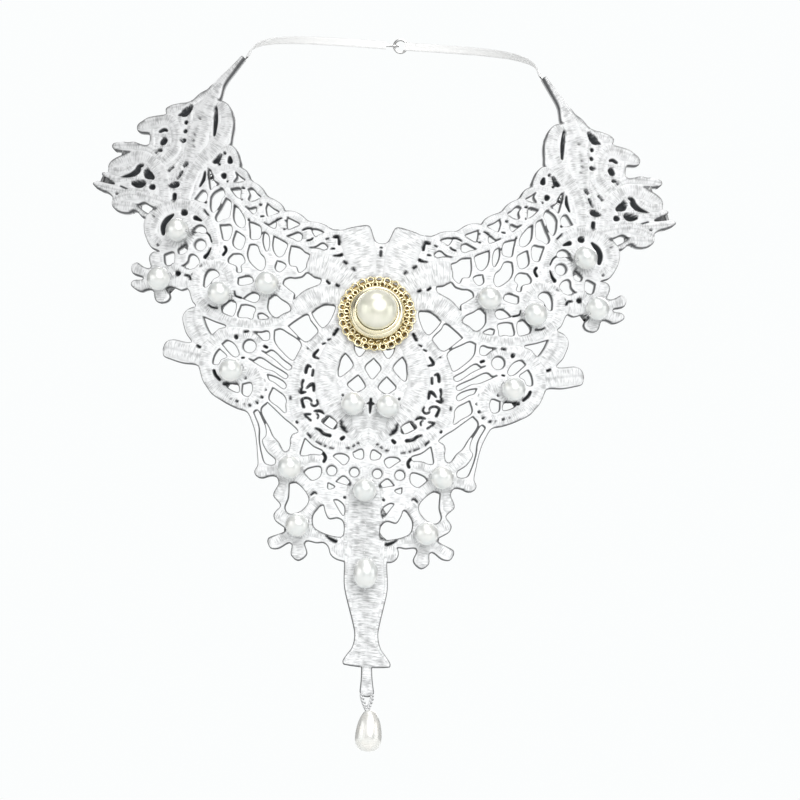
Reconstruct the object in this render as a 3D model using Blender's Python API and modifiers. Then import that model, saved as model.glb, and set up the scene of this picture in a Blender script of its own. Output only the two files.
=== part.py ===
"""Lace collar: white guipure lace worn round the neck, with sewn pearls, a gilt brooch and a pearl drop.

The lace is laid out flat, in millimetres, x to the right and z up from the middle of the brooch. Each
satin-stitched band is a smooth line with a width; the bands of one piece are joined into one outline, gaps
over 4 mm are left open, and the outline is draped over the chest and shoulders and given its thickness.
The world's origin is the middle of the neck, the collar faces -Y, and left and right are as seen from the
front.
"""

import math
from collections import namedtuple

import bmesh
import bpy
import numpy as np
from mathutils import Matrix, Vector
from mathutils.geometry import delaunay_2d_cdt

MM = 0.001
SEAM = 0.35  # mm between pieces that touch

# Driving sizes, in mm
NECK_HEIGHT = 60.0  # the middle of the neck above the middle of the brooch
LACE_EDGE = 1.2  # thickness of the lace at the rim of a band
LACE_FULL = 1.9  # thickness over the padded middle of a band
FULL_DEPTH = 2.0  # how far inside its rim a band reaches its full thickness
SMALLEST_GAP = 4.0  # gaps no longer than this stay closed
SMALLEST_GAP_AREA = 6.0
GRID = 0.4  # spacing of the grid that the bands are joined on
MIDDLE_SPACING = 3.2  # between the points along the padded middle of a band
OUTLINE_TOLERANCE = 0.16  # how far the outline may stray from its bands
BAND_MARGIN = 0.95  # points along the middles of bands lie at least this far inside the rim
PEARL_RADIUS = 4.0
TAIL_TOP = -60.0  # below this height the lace sways to one side
TAIL_SWAY = 0.078  # mm sideways for each mm below that

# The drape: how far back each point of the lace lies
FRONT_DEPTH = 72.0  # the throat notch in front of the neck's middle
NOTCH_HEIGHT = 26.0
CHEST_SLOPE = 0.36
CHEST_ROUNDING = 0.0008
SIDE_CURVE = 280.0
SHOULDER_START = 45.0
SHOULDER_TURN = (0.62, 0.78)  # how much of x and of z carries the lace over the shoulder
SHOULDER_ROUNDING = 0.02

# Brooch: a pierced plate, a bezel on it, and the pearl that the bezel holds
BROOCH_RADIUS = 13.4
BROOCH_LIFT = 6.0  # the height at which the brooch's middle line is in front of the layout's origin
PLATE_THICKNESS = 1.2
PLATE_OPENING = 5.2  # radius of the hole behind the bezel
PLATE_OVERLAP = 1.1  # how far the plate runs in under the ring of scrolls
SCROLL_COUNT = 14
SCROLL_RADIUS = 2.25
SCROLL_WIRE = 1.0
SCROLL_JOIN = 0.35  # how far neighbouring scrolls run into each other
SMALLEST_PIERCING = 2.0
PLATE_TOLERANCE = 0.1
BEZEL_RADIUS = 8.4
BEZEL_HEIGHT = 3.2
BEZEL_BEVEL = (0.4, 0.8)
BEZEL_LEDGE = 2.2  # width of the step that the pearl rests on
BEZEL_FLOOR = 0.8
BROOCH_PEARL_RADIUS = 7.0
BROOCH_PEARL_DOME = 0.86  # the pearl's half height as a share of its radius
BROOCH_PEARL_BASE = -2.6  # height of its flat base, from its middle

# Drop: how far it widens at each tenth of the way down from its top, as a share of its radius
DROP_PLACE = (6.9, -142.4)
DROP_RADIUS = 4.5
DROP_LENGTH = 14.4
DROP_LIFT = 0.9
DROP_SWELL = (0.0, 0.27, 0.5, 0.7, 0.86, 0.96, 1.0, 0.96, 0.82, 0.53, 0.0)

# Ribbon that closes the collar behind the neck
RIBBON_THICKNESS = 1.2
RIBBON_WIDTH = (1.8, 2.8)
RIBBON_ROLL = 1.1  # how far the ribbon's face turns up where it leaves the spray
WIRE_RADIUS = 0.45
HOOK_REACH = 6.0
HOOK_RISE = 1.4
HOOK_TIP = 1.6
EYE_RADIUS = 2.2
EYE_OVERLAP = 0.4  # how far the eye's rim runs past the middle of the back

Band = namedtuple("Band", "widths path cap", defaults=(1.0,))
Ring = namedtuple("Ring", "x z outer inner")

# Each table below lists bands: their widths, evenly spaced from start to end, then the path of the middle
# line as (x, z). cap is how long a band's rounded end is, as a share of its half width. All are the left
# half, and the right half is their mirror image, but for the tail.

FLOWER = (
    Band((7, 11, 12.8), ((-3.6, 8), (-6.4, 19), (-11, 28.2)), 0.35),
    Band((6.5, 9.2, 9.2), ((-7, 6), (-14.8, 11.6), (-25, 14.4)), 0.4),
    Band((7.5, 8, 6.4), ((-10, 4), (-19, 4), (-28, -0.8)), 0.6),
)

# The braid along the neck: where its two strands cross, and the cords that edge it
BRAID_CROSSINGS = (
    (-20.5, 23.5),
    (-30.5, 26),
    (-38.5, 29.5),
    (-45, 34.3),
    (-50.5, 39.8),
    (-54.5, 45.3),
    (-57, 51.5),
)
BRAID_BULGE = 3.4
BRAID_OUTER = 2.4
BRAID_INNER = 1.9
SEED_WIDTH = 3.4
SEED_REACH = 3.0
BRAID_EDGES = (
    Band((2.2,), ((-15, 19.8), (-24, 20), (-31, 21.6), (-36, 24.3), (-41.5, 27.3), (-47, 31.5),
                         (-51.5, 36), (-56, 39.5), (-60.5, 43.5))),
    Band((2.2,), ((-14, 24.3), (-20.5, 23.5))),
    Band((2,), ((-16.5, 25.8), (-20.5, 27.3), (-25.5, 28), (-29.5, 29.3), (-33.5, 31), (-36.5, 33.3),
                   (-40.5, 35.3), (-43.5, 37.8), (-46.8, 40.4), (-49, 43.3), (-50.8, 46.5), (-52.3, 50),
                   (-54.3, 53.2))),
)

MIDDLE_SCROLL = (
    Band((5.5, 3.6, 3.6), ((-24, 1.5), (-30, -2), (-35, -5.8), (-42, -7.4), (-50, -6.6), (-56.5, -3.2))),
    Band((3.6, 4.6, 3), ((-55, -4.2), (-60.5, 0), (-62.2, 5), (-60.5, 10), (-56, 12), (-51.5, 10.5),
                         (-50, 6.5))),
    Band((2.6,), ((-54, 9.5), (-52, 7), (-53, 3))),
)

UPPER_SCROLL = (
    Band((4.2, 5.8, 4), ((-74.5, 17.3), (-77.7, 19.5), (-78.7, 23.5), (-77.6, 27.5), (-73.5, 30.3))),
    Band((4, 3, 3.2), ((-75.5, 29.3), (-70, 31.5), (-64.5, 31), (-59.7, 27.5), (-57, 22.5), (-56.3, 17),
                       (-58.5, 12.3))),
    Band((1.6,), ((-69.5, 28.3), (-71.5, 30.5))),
    Band((1.8,), ((-67, 27.5), (-65.3, 30))),
    Band((1.8,), ((-66, 25.3), (-62.5, 27), (-59.5, 25.5))),
    Band((3, 2.6, 2.4), ((-75, 17), (-70, 17.2), (-66, 18.6), (-63, 22))),
    Band((2.2,), ((-75, 17), (-75, 11))),
    Band((2.4,), ((-69.8, 17.5), (-69.3, 14), (-69, 9))),
    Band((2.4, 2.2, 2.2), ((-68.5, 13.5), (-66, 15.6), (-62, 15.8))),
    Band((2.2,), ((-61.5, 15.5), (-60.5, 12), (-62.5, 9.5))),
)

LOWER_SCROLL = (
    Band((3.4, 4.4, 4.6), ((-38, -13.2), (-43, -11), (-49, -10.8), (-54, -13.2), (-57, -18))),
    Band((4.4, 5, 4.6), ((-56.6, -17), (-57, -22.5), (-55, -28), (-50.5, -32.2), (-44.5, -34.6),
                         (-41, -35.4))),
    Band((3.6, 4.8, 6.6), ((-43, -34.8), (-39, -33.4), (-38.1, -29), (-39.4, -25), (-43.5, -22.8))),
    Band((2.2,), ((-55, -15), (-52, -16.2), (-49, -20))),
    Band((2.4, 2.2, 2), ((-50, -12), (-46.7, -14.6), (-45.3, -20))),
    Band((1.6,), ((-51, -27.6), (-47, -27), (-44.5, -28))),
    Band((2.2,), ((-44.8, -27), (-44.6, -33))),
    Band((2.2,), ((-46, -20.6), (-42, -20.6), (-37.5, -18.5))),
)

# Thin cords of the net between the braid and the scrolls
NET_WIDTH = 2.0
NET_PATHS = (
    ((-60.3, 41), (-60.4, 36), (-60.2, 31), (-58, 27.5), (-56.2, 24), (-55.8, 19)),
    ((-53.6, 37), (-55.2, 33.3), (-57, 29.5), (-58.5, 27.5)),
    ((-52, 36), (-51.7, 32), (-51.6, 28.5), (-50.7, 25.8)),
    ((-57.5, 26), (-53.5, 27.1), (-50.5, 25.7), (-48, 24.8), (-45.6, 24)),
    ((-49, 32.8), (-47.2, 29.5), (-46, 26.5), (-45.4, 23), (-45.6, 20.7), (-46.2, 17.5)),
    ((-50.6, 25.5), (-51, 22), (-51.2, 18.6), (-54.5, 19.6)),
    ((-51.3, 18.6), (-49, 17), (-46.2, 17.3), (-44.3, 20.6), (-40.6, 20.3)),
    ((-52, 18.3), (-51.8, 16.5), (-53.5, 13.5)),
    ((-55.5, 16), (-51.9, 16.6), (-49, 17)),
    ((-42, 28.2), (-40.9, 25), (-41, 21), (-39.9, 17.5), (-38.4, 12)),
    ((-39.6, 26.5), (-37.8, 22.8), (-37.6, 17), (-38, 10)),
    ((-32.2, 22.3), (-32.1, 18.5), (-31.8, 14.5), (-32, 11), (-35, 9)),
    ((-37.6, 16.5), (-35, 15.3), (-31.8, 15.8)),
    ((-24.5, 12.2), (-28, 11.6), (-32, 11)),
    ((-46, 18), (-45.3, 14), (-43, 11), (-40.5, 9)),
    ((-52, 12), (-49.4, 10.8), (-47, 9.3), (-42, 8.8)),
    ((-50, 5.2), (-45, 5), (-41, 5.3)),
    ((-51.5, 2.2), (-48.3, 0.3), (-44, 0), (-41, -0.8), (-38, 1.5)),
    ((-47.8, 0.2), (-48, -5.5)),
    ((-41.2, -0.5), (-40.9, -5.8)),
    ((-38, 4), (-38, 0), (-37.4, -5)),
    ((-36, 6), (-32.5, 4.5), (-29, 1.8)),
    ((-62.2, 41), (-63, 37.5), (-65.5, 34)),
    ((-65, 33), (-62.5, 32.3), (-60, 33)),
)

# Small five- and six-petalled stars that carry pearls at the edge and on the net
OUTER_STARS = (
    Band((4, 4.6, 4.4), ((-76, 7), (-80, 8.2), (-84.8, 9.4))),
    Band((4, 4.4, 4), ((-76, 5), (-80, 3.6), (-84.5, 3.2))),
    Band((4.5, 4.6, 4.6), ((-75, 5), (-74.2, 1.5), (-73.8, -2.6))),
    Band((4.5, 5, 5.5), ((-74, 5), (-68.5, 5.6), (-62, 5.8))),
    Band((4.5, 4.6, 4.6), ((-75, 7), (-76.4, 10.5), (-77, 16))),
    Band((4.5, 3.6, 3), ((-74, 7), (-70, 10), (-64.5, 9.2))),
    Band((3, 2.6, 2.2), ((-38, 7), (-42.5, 8.3), (-46, 9))),
    Band((3, 2.6, 2.2), ((-38, 7), (-41.5, 4), (-43.5, 4.6))),
)

SIDE_LOBES = (
    Band((6.4, 7.2, 6.5), ((-61.8, -2.6), (-61.6, -8), (-57, -16))),
    Band((6.2, 6.8, 6.4), ((-72, -17.2), (-65, -18.2), (-57, -19.8))),
)

# Bars that hold the scrolls, the medallion and the lower stars together
BARS = (
    Band((2.4, 2, 2), ((-39, -13.5), (-34.8, -14.8), (-27, -20.2))),
    Band((2.4, 1.9, 2), ((-40.5, -18), (-36, -18.3), (-27, -23.2))),
    Band((3, 2.6, 2.4), ((-39, -21.5), (-34, -23.3), (-27, -26.8))),
    Band((2.2, 2, 2), ((-37.5, -26), (-33, -28), (-27, -30.8))),
    Band((2.2, 2, 2.2), ((-38, -31), (-33.5, -33.3), (-25.5, -38.3))),
    Band((2.2,), ((-36.3, -10.5), (-36.8, -14))),
    Band((2.2, 2, 2.2), ((-35, -7.4), (-30, -8), (-23.5, -12.7))),
    Band((2.2, 2, 2.2), ((-25.5, 0), (-21, -4.8), (-17, -10.5))),
    Band((2.4, 2.2, 2.2), ((-41.5, -36.5), (-39, -44), (-36.4, -50.5), (-35.4, -55))),
    Band((2.2, 2, 2), ((-38.6, -36), (-36, -43), (-34, -48))),
)

MEDALLION = (
    Band((4.6, 5.2, 5, 3.6), ((-13, -6), (-18.5, -10), (-23.5, -16), (-26, -24), (-25.6, -33), (-22, -40),
                              (-16, -45), (-9.5, -47), (-3.5, -45.4), (0, -41.5))),
    Band((6.5, 7.8, 8.4, 3.6), ((-9, -7), (-13.6, -14.5), (-15.9, -22), (-15, -29), (-11.5, -35.2),
                                (-6.5, -40), (-1.5, -44.5))),
    Band((3, 2.8, 2.8), ((4.5, -9.5), (-4.4, -19.2), (-11.5, -27))),
    Band((3, 2.8, 2.8), ((-10.5, -10), (-4.2, -20), (0, -26.3), (4, -32))),
    Band((3, 2.6, 2.4), ((-13, -28.5), (-7, -30), (-3, -27.5))),
    Band((6.5, 8, 3.6), ((-4, -34), (-3.2, -38.5), (-0.8, -45))),
)

LOWER_STARS = (
    Band((4.6, 4.4, 4.6), ((-27, -55.5), (-32, -56.8), (-38, -57.6))),
    Band((4.6, 4.2, 4.4), ((-27, -54), (-30.5, -50), (-33.8, -46.2))),
    Band((4.6, 4.2, 4.6), ((-26, -53), (-25.3, -48), (-24, -43))),
    Band((4.4, 3.4, 3), ((-24.5, -53.5), (-19, -51.6), (-15, -51.5))),
    Band((5, 5, 4.6), ((-24.5, -57), (-20, -60.5), (-15.5, -66.5))),
    Band((4.6, 4.2, 4.6), ((-27, -57), (-28.6, -62), (-29, -67.6))),
    Band((2.2, 2, 2), ((-28, -67), (-27.5, -70.5))),
    Band((4.6, 4.4, 4.4), ((-22.5, -74), (-26.5, -72), (-30.6, -70.4))),
    Band((4.6, 4.4, 4.6), ((-23, -75.5), (-27.5, -78.8), (-32, -81.2))),
    Band((4.6, 4.6, 5), ((-22, -76), (-21.3, -81), (-21.2, -86.5))),
    Band((4.6, 3.6, 3.6), ((-20.5, -75.5), (-14, -77), (-6, -79.6))),
    Band((5, 4.6, 4), ((-21, -73), (-18, -69.5), (-14.5, -64.5))),
    Band((3.4, 2.6, 2.4), ((-19, -51.8), (-21.5, -48.3), (-22.5, -44))),
    Band((2.2, 2, 2), ((-17, -51.8), (-13.5, -49.2), (-10.5, -47.5))),
    Band((2.4, 2.2, 2.2), ((-8.3, -52.5), (-5.6, -50.3), (-5, -46.5))),
    Band((2.2, 2.4, 2.6), ((-0.9, -43), (-0.9, -50), (-1.2, -56))),
    Band((3, 2.6, 2.6), ((-20, -60.3), (-14.5, -59), (-9, -60.5))),
    Band((3.6, 3.8, 3.4), ((-17, -65), (-11, -63), (-5, -63.5))),
    Band((3.2, 3.2, 3), ((-13, -64), (-11.3, -67.5), (-9.5, -71), (-5, -70.6))),
    Band((3,), ((-11.5, -57.5), (-9.6, -60.5), (-6, -63))),
)

# The tail hangs down the middle: one tapering panel with a flared foot, then lobes, a tab and thread loops
Station = namedtuple("Station", "z width")
TAIL_PANEL = (
    Station(-57, 10.5),
    Station(-60, 12.2),
    Station(-68, 13.8),
    Station(-77, 15),
    Station(-86, 14.6),
    Station(-94, 14.8),
    Station(-100, 12.3),
    Station(-105, 9.8),
    Station(-110, 8.2),
    Station(-114, 8.7),
    Station(-117, 12),
    Station(-119.2, 16.6),
    Station(-121.2, 16),
)
TAIL_BANDS = (
    Band((6.5, 8, 6.5), ((-11.4, -81.7), (0, -81.4), (11.4, -81.7))),
    Band((3.6, 4, 5.4), ((0, -119), (0, -125), (0, -131)), 0.8),
    Band((1.6, 1.3, 1.3), ((-1.7, -130), (-1.4, -132.5), (-0.1, -134.9))),
    Band((1.6, 1.3, 1.3), ((1.7, -130), (1.5, -132.5), (0.3, -134.9))),
)

TAIL_SPINE = ((0.0, -60.0), (0.0, -118.0))
TAIL_COLUMN = (3.4, 0.0)  # from the spine to the middle of the padding on each side of it

RINGS = (
    Ring(-62, 18.5, 3.7, 1.8),
    Ring(-42.2, -15.3, 3.8, 2.1),
    Ring(-4.4, -54.6, 3.7, 1.6),
    Ring(-12, -54.6, 3.9, 1.6),
)

# The sprays of leaves that run up each side of the neck, to one slender tip
SPRAY_TIP = (-51.6, 84.2)
WING = (
    Band((4, 5.8, 3.6), ((-60, 68.2), (-56.2, 65), (-55.6, 59), (-58.5, 52.5), (-64, 46), (-67, 39),
                       (-67.6, 31.5))),
    Band((5, 8.6, 5), ((-67.5, 44), (-65.5, 54), (-63.2, 64), (-60.4, 71.5))),
    Band((5.2, 2.8, 1.6), ((-61.6, 69), (-58.6, 75), (-55.3, 79.3), SPRAY_TIP), 0.6),
    Band((2, 2.6, 1), ((-71.5, 63.5), (-66.6, 68.2), (-61.5, 72.6), (-57, 77.2))),
    Band((3, 3.4, 2.6), ((-77.8, 63.8), (-73, 65.2), (-67, 66.8))),
    Band((5, 5, 3.4), ((-87, 57.6), (-80.5, 60), (-75, 60.3), (-72.3, 56), (-73, 50), (-77, 45))),
    Band((2, 2.4, 2), ((-71.8, 63), (-71.6, 57), (-72, 51.5))),
    Band((2.4,), ((-68.6, 67), (-68.2, 58), (-68.4, 50), (-71, 43), (-73.5, 35))),
    Band((3, 3.2, 3.2), ((-95, 50.3), (-88, 51), (-81.5, 50.4), (-76.5, 46.5))),
    Band((2.6, 2.4, 2.6), ((-81.2, 57.5), (-80.8, 53), (-80.5, 49.5))),
    Band((2,), ((-80.8, 55), (-74.5, 55.2))),
    Band((2.2, 2, 2), ((-80.5, 51), (-76, 51.2), (-72.5, 52))),
    Band((4.2, 5.4, 4), ((-95.6, 43), (-90, 46.3), (-83, 47), (-77.3, 43), (-75, 37), (-74.6, 31.5))),
    Band((3, 3.2, 2.6), ((-95.5, 42.3), (-90, 42), (-86.5, 44))),
    Band((2.4, 2.6, 2.4), ((-91, 39), (-86, 40.3), (-83, 43), (-80.5, 46))),
    Band((2.6, 2.6, 2.4), ((-98, 40.6), (-93, 39), (-87, 39.3), (-79, 38.8))),
    Band((2.4, 3, 2.6), ((-100.6, 36.8), (-95, 35.8), (-88, 35), (-80, 35.6))),
    Band((2,), ((-81.6, 36), (-81.8, 39))),
    Band((2.4, 4.2, 2.6), ((-93, 31.8), (-86.5, 34), (-79, 33.2), (-71, 30.5))),
    Band((3.6, 4, 2.6), ((-93, 30.3), (-88.5, 30), (-84.5, 29.6), (-80, 27))),
    Band((2,), ((-76.8, 41), (-72.5, 45), (-69, 50))),
    Band((1.8,), ((-75, 40), (-69.5, 40))),
    Band((1.8,), ((-74.5, 36.5), (-68.5, 36.8))),
    Band((2.4,), ((-70.5, 38), (-68, 44), (-66, 50))),
)

# Pearls sewn on each half, on a small disc of lace, and two on the middle line
Pearl = namedtuple("Pearl", "name x z disc")
PEARLS = (
    Pearl("upper_scroll", -69.8, 23, 5.3),
    Pearl("outer_star", -75, 6, 5.0),
    Pearl("middle_scroll", -54, 2.5, 4.9),
    Pearl("net_star", -38, 7, 4.8),
    Pearl("lower_scroll", -48.3, -23.4, 5.2),
    Pearl("medallion", -6, -32, 5.0),
    Pearl("upper_lower_star", -26, -55, 5.0),
    Pearl("tail_star", -22, -74.4, 5.0),
)
CENTRE_PEARL = (0.0, -61.0)
OVAL_PEARL = (0.0, -89.0)
OVAL_RADIUS = 4.2
OVAL_STRETCH = 1.28

# The ribbon from the tip of the left spray to the back of the neck: x and y from the neck's middle, then
# the height on the layout
RIBBON_PATH = ((-48.3, 22.4, 88), (-43, 32, 90.3), (-33, 43.5, 91.6), (-18, 53, 92), (-3.2, 56.5, 92))


# ---------------------------------------------------------------- the drape


def depth(x, z):
    """How far behind the neck's middle (y, in mm) the back of the lace lies at a place of the layout."""
    below = NOTCH_HEIGHT - z
    over = np.maximum(0.0, SHOULDER_TURN[0] * np.abs(x) + SHOULDER_TURN[1] * z - SHOULDER_START)
    chest = -FRONT_DEPTH - CHEST_SLOPE * below + CHEST_ROUNDING * below * below
    return chest + x * x / SIDE_CURVE + SHOULDER_ROUNDING * over * over


def on_lace(x, z, lift=0.0):
    """A place of the layout in the world, in metres, raised off the back of the lace by lift mm."""
    reach = 0.05
    slope_x = (depth(x + reach, z) - depth(x - reach, z)) / (2 * reach)
    slope_z = (depth(x, z + reach) - depth(x, z - reach)) / (2 * reach)
    outward = Vector((slope_x, -1.0, slope_z)).normalized()
    place = Vector((x, depth(x, z), z - NECK_HEIGHT)) + outward * lift
    return place * MM, outward


def foot_of(x, z, lift):
    """Where on the layout a piece stands that is in front of (x, z) when it is lift mm off the lace."""
    foot_x, foot_z = x, z
    for _ in range(6):
        place, _ = on_lace(foot_x, foot_z, lift)
        foot_x += x - place.x / MM
        foot_z += z - NECK_HEIGHT - place.z / MM
    return foot_x, foot_z


def disc_place(pearl):
    """The middle of a pearl's lace disc: halfway between the place where the pearl shows and its foot."""
    x, z = foot_of(pearl.x, pearl.z, LACE_FULL + SEAM + PEARL_RADIUS)
    return (pearl.x + x) / 2, (pearl.z + z) / 2


def sway(z):
    """How far the tail hangs to one side at height z."""
    return TAIL_SWAY * np.maximum(0.0, TAIL_TOP - z)


# ---------------------------------------------------------------- bands and their outlines


def smooth_line(path, step):
    """Points about step mm apart on a smooth line through the path's own points."""
    points = np.array(path, float)
    ends = np.vstack([2 * points[0] - points[1], points, 2 * points[-1] - points[-2]])
    knots = np.concatenate([[0.0], np.cumsum(np.linalg.norm(np.diff(ends, axis=0), axis=1) ** 0.5)])
    line = []
    for k in range(1, len(ends) - 2):
        a, b, c, d = ends[k - 1 : k + 3]
        ta, tb, tc, td = knots[k - 1 : k + 3]
        count = max(2, int(np.linalg.norm(c - b) / step))
        t = np.linspace(tb, tc, count, endpoint=False)[:, None]
        ab = ((tb - t) * a + (t - ta) * b) / (tb - ta)
        bc = ((tc - t) * b + (t - tb) * c) / (tc - tb)
        cd = ((td - t) * c + (t - tc) * d) / (td - tc)
        abc = ((tc - t) * ab + (t - ta) * bc) / (tc - ta)
        bcd = ((td - t) * bc + (t - tb) * cd) / (td - tb)
        line.append(((tc - t) * abc + (t - tb) * bcd) / (tc - tb))
    return np.vstack(line + [ends[-2:-1]])


def band_outline(band, step=0.8):
    """The closed outline of a band, its width running smoothly through its widths and its ends rounded."""
    line = smooth_line(band.path, step)
    run = np.concatenate([[0.0], np.cumsum(np.linalg.norm(np.diff(line, axis=0), axis=1))])
    places = np.linspace(0, run[-1], max(2, len(band.widths)))
    widths = np.broadcast_to(band.widths, places.shape) if len(band.widths) == 1 else band.widths
    curve = smooth_line(tuple(zip(places, widths)), step)
    width = np.interp(run, curve[:, 0], curve[:, 1])
    first_cap = band.cap * band.widths[0] / 2
    last_cap = band.cap * band.widths[-1] / 2
    into_first = np.clip((first_cap - run) / first_cap, 0, 1)
    into_last = np.clip((run - run[-1] + last_cap) / last_cap, 0, 1)
    half = width / 2 * np.sqrt(1 - into_first**2) * np.sqrt(1 - into_last**2)
    ahead = np.gradient(line, axis=0)
    ahead /= np.linalg.norm(ahead, axis=1)[:, None]
    across = np.stack([-ahead[:, 1], ahead[:, 0]], axis=1) * half[:, None]
    return np.vstack([line + across, (line - across)[::-1]])


def panel_outline(stations):
    """The closed outline of an upright panel, from its widths at a few heights."""
    side = smooth_line([(station.width / 2, station.z) for station in stations], 0.8)
    return np.vstack([side[::-1], side * np.array([-1.0, 1.0])])


def swayed(points):
    """Points of the tail, moved to where it hangs."""
    return points + np.stack([sway(points[:, 1]), np.zeros(len(points))], axis=1)


def circle_outline(x, z, radius, sides=28):
    turn = np.linspace(0, 2 * math.pi, sides, endpoint=False)
    return np.stack([x + radius * np.cos(turn), z + radius * np.sin(turn)], axis=1)


def mirrored(outline):
    return outline[::-1] * np.array([-1.0, 1.0])


def both_halves(outlines):
    return outlines + [mirrored(outline) for outline in outlines]


def braid_bands():
    """Two strands that part and cross along the neck, with a padded seed in each eye between them."""
    bands = []
    for left, right in zip(BRAID_CROSSINGS, BRAID_CROSSINGS[1:]):
        start = np.array(left)
        end = np.array(right)
        middle = (start + end) / 2
        along = (end - start) / np.linalg.norm(end - start)
        neckward = np.array([along[1], -along[0]])
        bands.append(Band((BRAID_OUTER,), (start, middle + BRAID_BULGE * neckward, end)))
        bands.append(Band((BRAID_INNER,), (start, middle - BRAID_BULGE * neckward, end)))
        seed = (middle - SEED_REACH * neckward, middle + SEED_REACH * neckward)
        bands.append(Band((0.8 * SEED_WIDTH, SEED_WIDTH, 0.8 * SEED_WIDTH), seed))
    return bands


def front_outlines():
    """Outlines of all that belongs to the front piece, and of the holes in its rings."""
    net = tuple(Band((NET_WIDTH,), path) for path in NET_PATHS)
    tables = (FLOWER, BRAID_EDGES, MIDDLE_SCROLL, UPPER_SCROLL, LOWER_SCROLL, net, OUTER_STARS, SIDE_LOBES)
    tables += (BARS, MEDALLION, LOWER_STARS, braid_bands())
    half = [band_outline(band) for table in tables for band in table]
    half += [circle_outline(*disc_place(pearl), pearl.disc) for pearl in PEARLS]
    half += [circle_outline(ring.x, ring.z, ring.outer) for ring in RINGS]
    whole = both_halves(half)
    for outline in [panel_outline(TAIL_PANEL)] + [band_outline(band) for band in TAIL_BANDS]:
        whole.append(swayed(outline))
    holes = both_halves([circle_outline(ring.x, ring.z, ring.inner) for ring in RINGS])
    return whole, holes


# ---------------------------------------------------------------- joining bands into one outline


def signed_distance(outline, x, z):
    """Distance from each grid point to a closed outline, negative inside it."""
    nearest = np.full(x.shape, np.inf)
    turns = np.zeros(x.shape, int)
    for (ax, az), (bx, bz) in zip(outline, np.roll(outline, -1, axis=0)):
        run_x, run_z = bx - ax, bz - az
        from_x, from_z = x - ax, z - az
        share = np.clip((from_x * run_x + from_z * run_z) / (run_x**2 + run_z**2 + 1e-12), 0, 1)
        nearest = np.minimum(nearest, np.hypot(from_x - share * run_x, from_z - share * run_z))
        side = run_x * from_z - run_z * from_x
        turns += (az <= z) & (bz > z) & (side > 0)
        turns -= (az > z) & (bz <= z) & (side < 0)
    return np.where(turns != 0, -nearest, nearest)


class Sheet:
    """A flat piece of lace: the distance to its rim over a grid, joined from outlines one by one."""

    def __init__(self, outlines, holes=()):
        corners = np.vstack(outlines)
        low = corners.min(axis=0) - 3 * GRID
        high = corners.max(axis=0) + 3 * GRID
        self.xs = np.arange(low[0], high[0], GRID)
        self.zs = np.arange(low[1], high[1], GRID)
        self.rim = np.full((len(self.xs), len(self.zs)), 5.0)
        for outline in outlines:
            self.join(outline)
        for hole in holes:
            self.cut(hole)

    def window(self, outline, margin):
        low = outline.min(axis=0) - margin
        high = outline.max(axis=0) + margin
        across = slice(*np.searchsorted(self.xs, (low[0], high[0])))
        up = slice(*np.searchsorted(self.zs, (low[1], high[1])))
        x, z = np.meshgrid(self.xs[across], self.zs[up], indexing="ij")
        return (across, up), x, z

    def join(self, outline):
        place, x, z = self.window(outline, 2.0)
        if x.size:
            self.rim[place] = np.minimum(self.rim[place], signed_distance(outline, x, z))

    def cut(self, outline, clearance=0.0):
        place, x, z = self.window(outline, 2.0)
        if x.size:
            self.rim[place] = np.maximum(self.rim[place], clearance - signed_distance(outline, x, z))

    def inside(self, points):
        """How deep each point lies inside the rim, by the nearest grid point."""
        i = np.clip(np.rint((points[:, 0] - self.xs[0]) / GRID).astype(int), 0, len(self.xs) - 1)
        j = np.clip(np.rint((points[:, 1] - self.zs[0]) / GRID).astype(int), 0, len(self.zs) - 1)
        return -self.rim[i, j]

    def loops(self):
        """The closed lines along the rim: each grid square adds the pieces of line that cross it."""
        rim = self.rim
        filled = rim < 0
        corners = filled[:-1, :-1].astype(int) + filled[1:, :-1] + filled[1:, 1:] + filled[:-1, 1:]
        onward = {}

        def crossing(a, b):
            share = rim[a] / (rim[a] - rim[b])
            x = self.xs[a[0]] + share * (self.xs[b[0]] - self.xs[a[0]])
            z = self.zs[a[1]] + share * (self.zs[b[1]] - self.zs[a[1]])
            return (min(a, b), max(a, b)), (x, z)

        for i, j in np.argwhere((corners > 0) & (corners < 4)):
            square = [(i, j), (i + 1, j), (i + 1, j + 1), (i, j + 1)]
            sides = list(zip(square, square[1:] + square[:1]))
            leave = [crossing(a, b) for a, b in sides if filled[a] and not filled[b]]
            enter = [crossing(a, b) for a, b in sides if not filled[a] and filled[b]]
            joined = sum(rim[corner] for corner in square) < 0
            if len(leave) == 2 and filled[square[0]] != joined:
                enter.reverse()
            for (key, point), (end_key, _) in zip(leave, enter):
                onward[key] = (point, end_key)
        found = []
        while onward:
            key = next(iter(onward))
            line = []
            while key in onward:
                point, key = onward.pop(key)
                line.append(point)
            found.append(np.array(line))
        return found


def loop_area(loop):
    x, z = loop[:, 0], loop[:, 1]
    return 0.5 * float(np.sum(x * np.roll(z, -1) - np.roll(x, -1) * z))


def thinned(loop, tolerance):
    """A closed line with only the points that its shape needs, to within tolerance."""

    def keep(first, last):
        if last - first < 2:
            return []
        a, b = loop[first], loop[last % len(loop)]
        between = loop[first + 1 : last]
        run = b - a
        length = np.linalg.norm(run) or 1e-9
        off = np.abs(run[0] * (between[:, 1] - a[1]) - run[1] * (between[:, 0] - a[0])) / length
        worst = int(np.argmax(off))
        if off[worst] < tolerance:
            return []
        middle = first + 1 + worst
        return keep(first, middle) + [middle] + keep(middle, last)

    far = int(np.argmax(np.linalg.norm(loop - loop[0], axis=1)))
    kept = [0] + keep(0, far) + [far] + keep(far, len(loop))
    return loop[kept]


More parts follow.
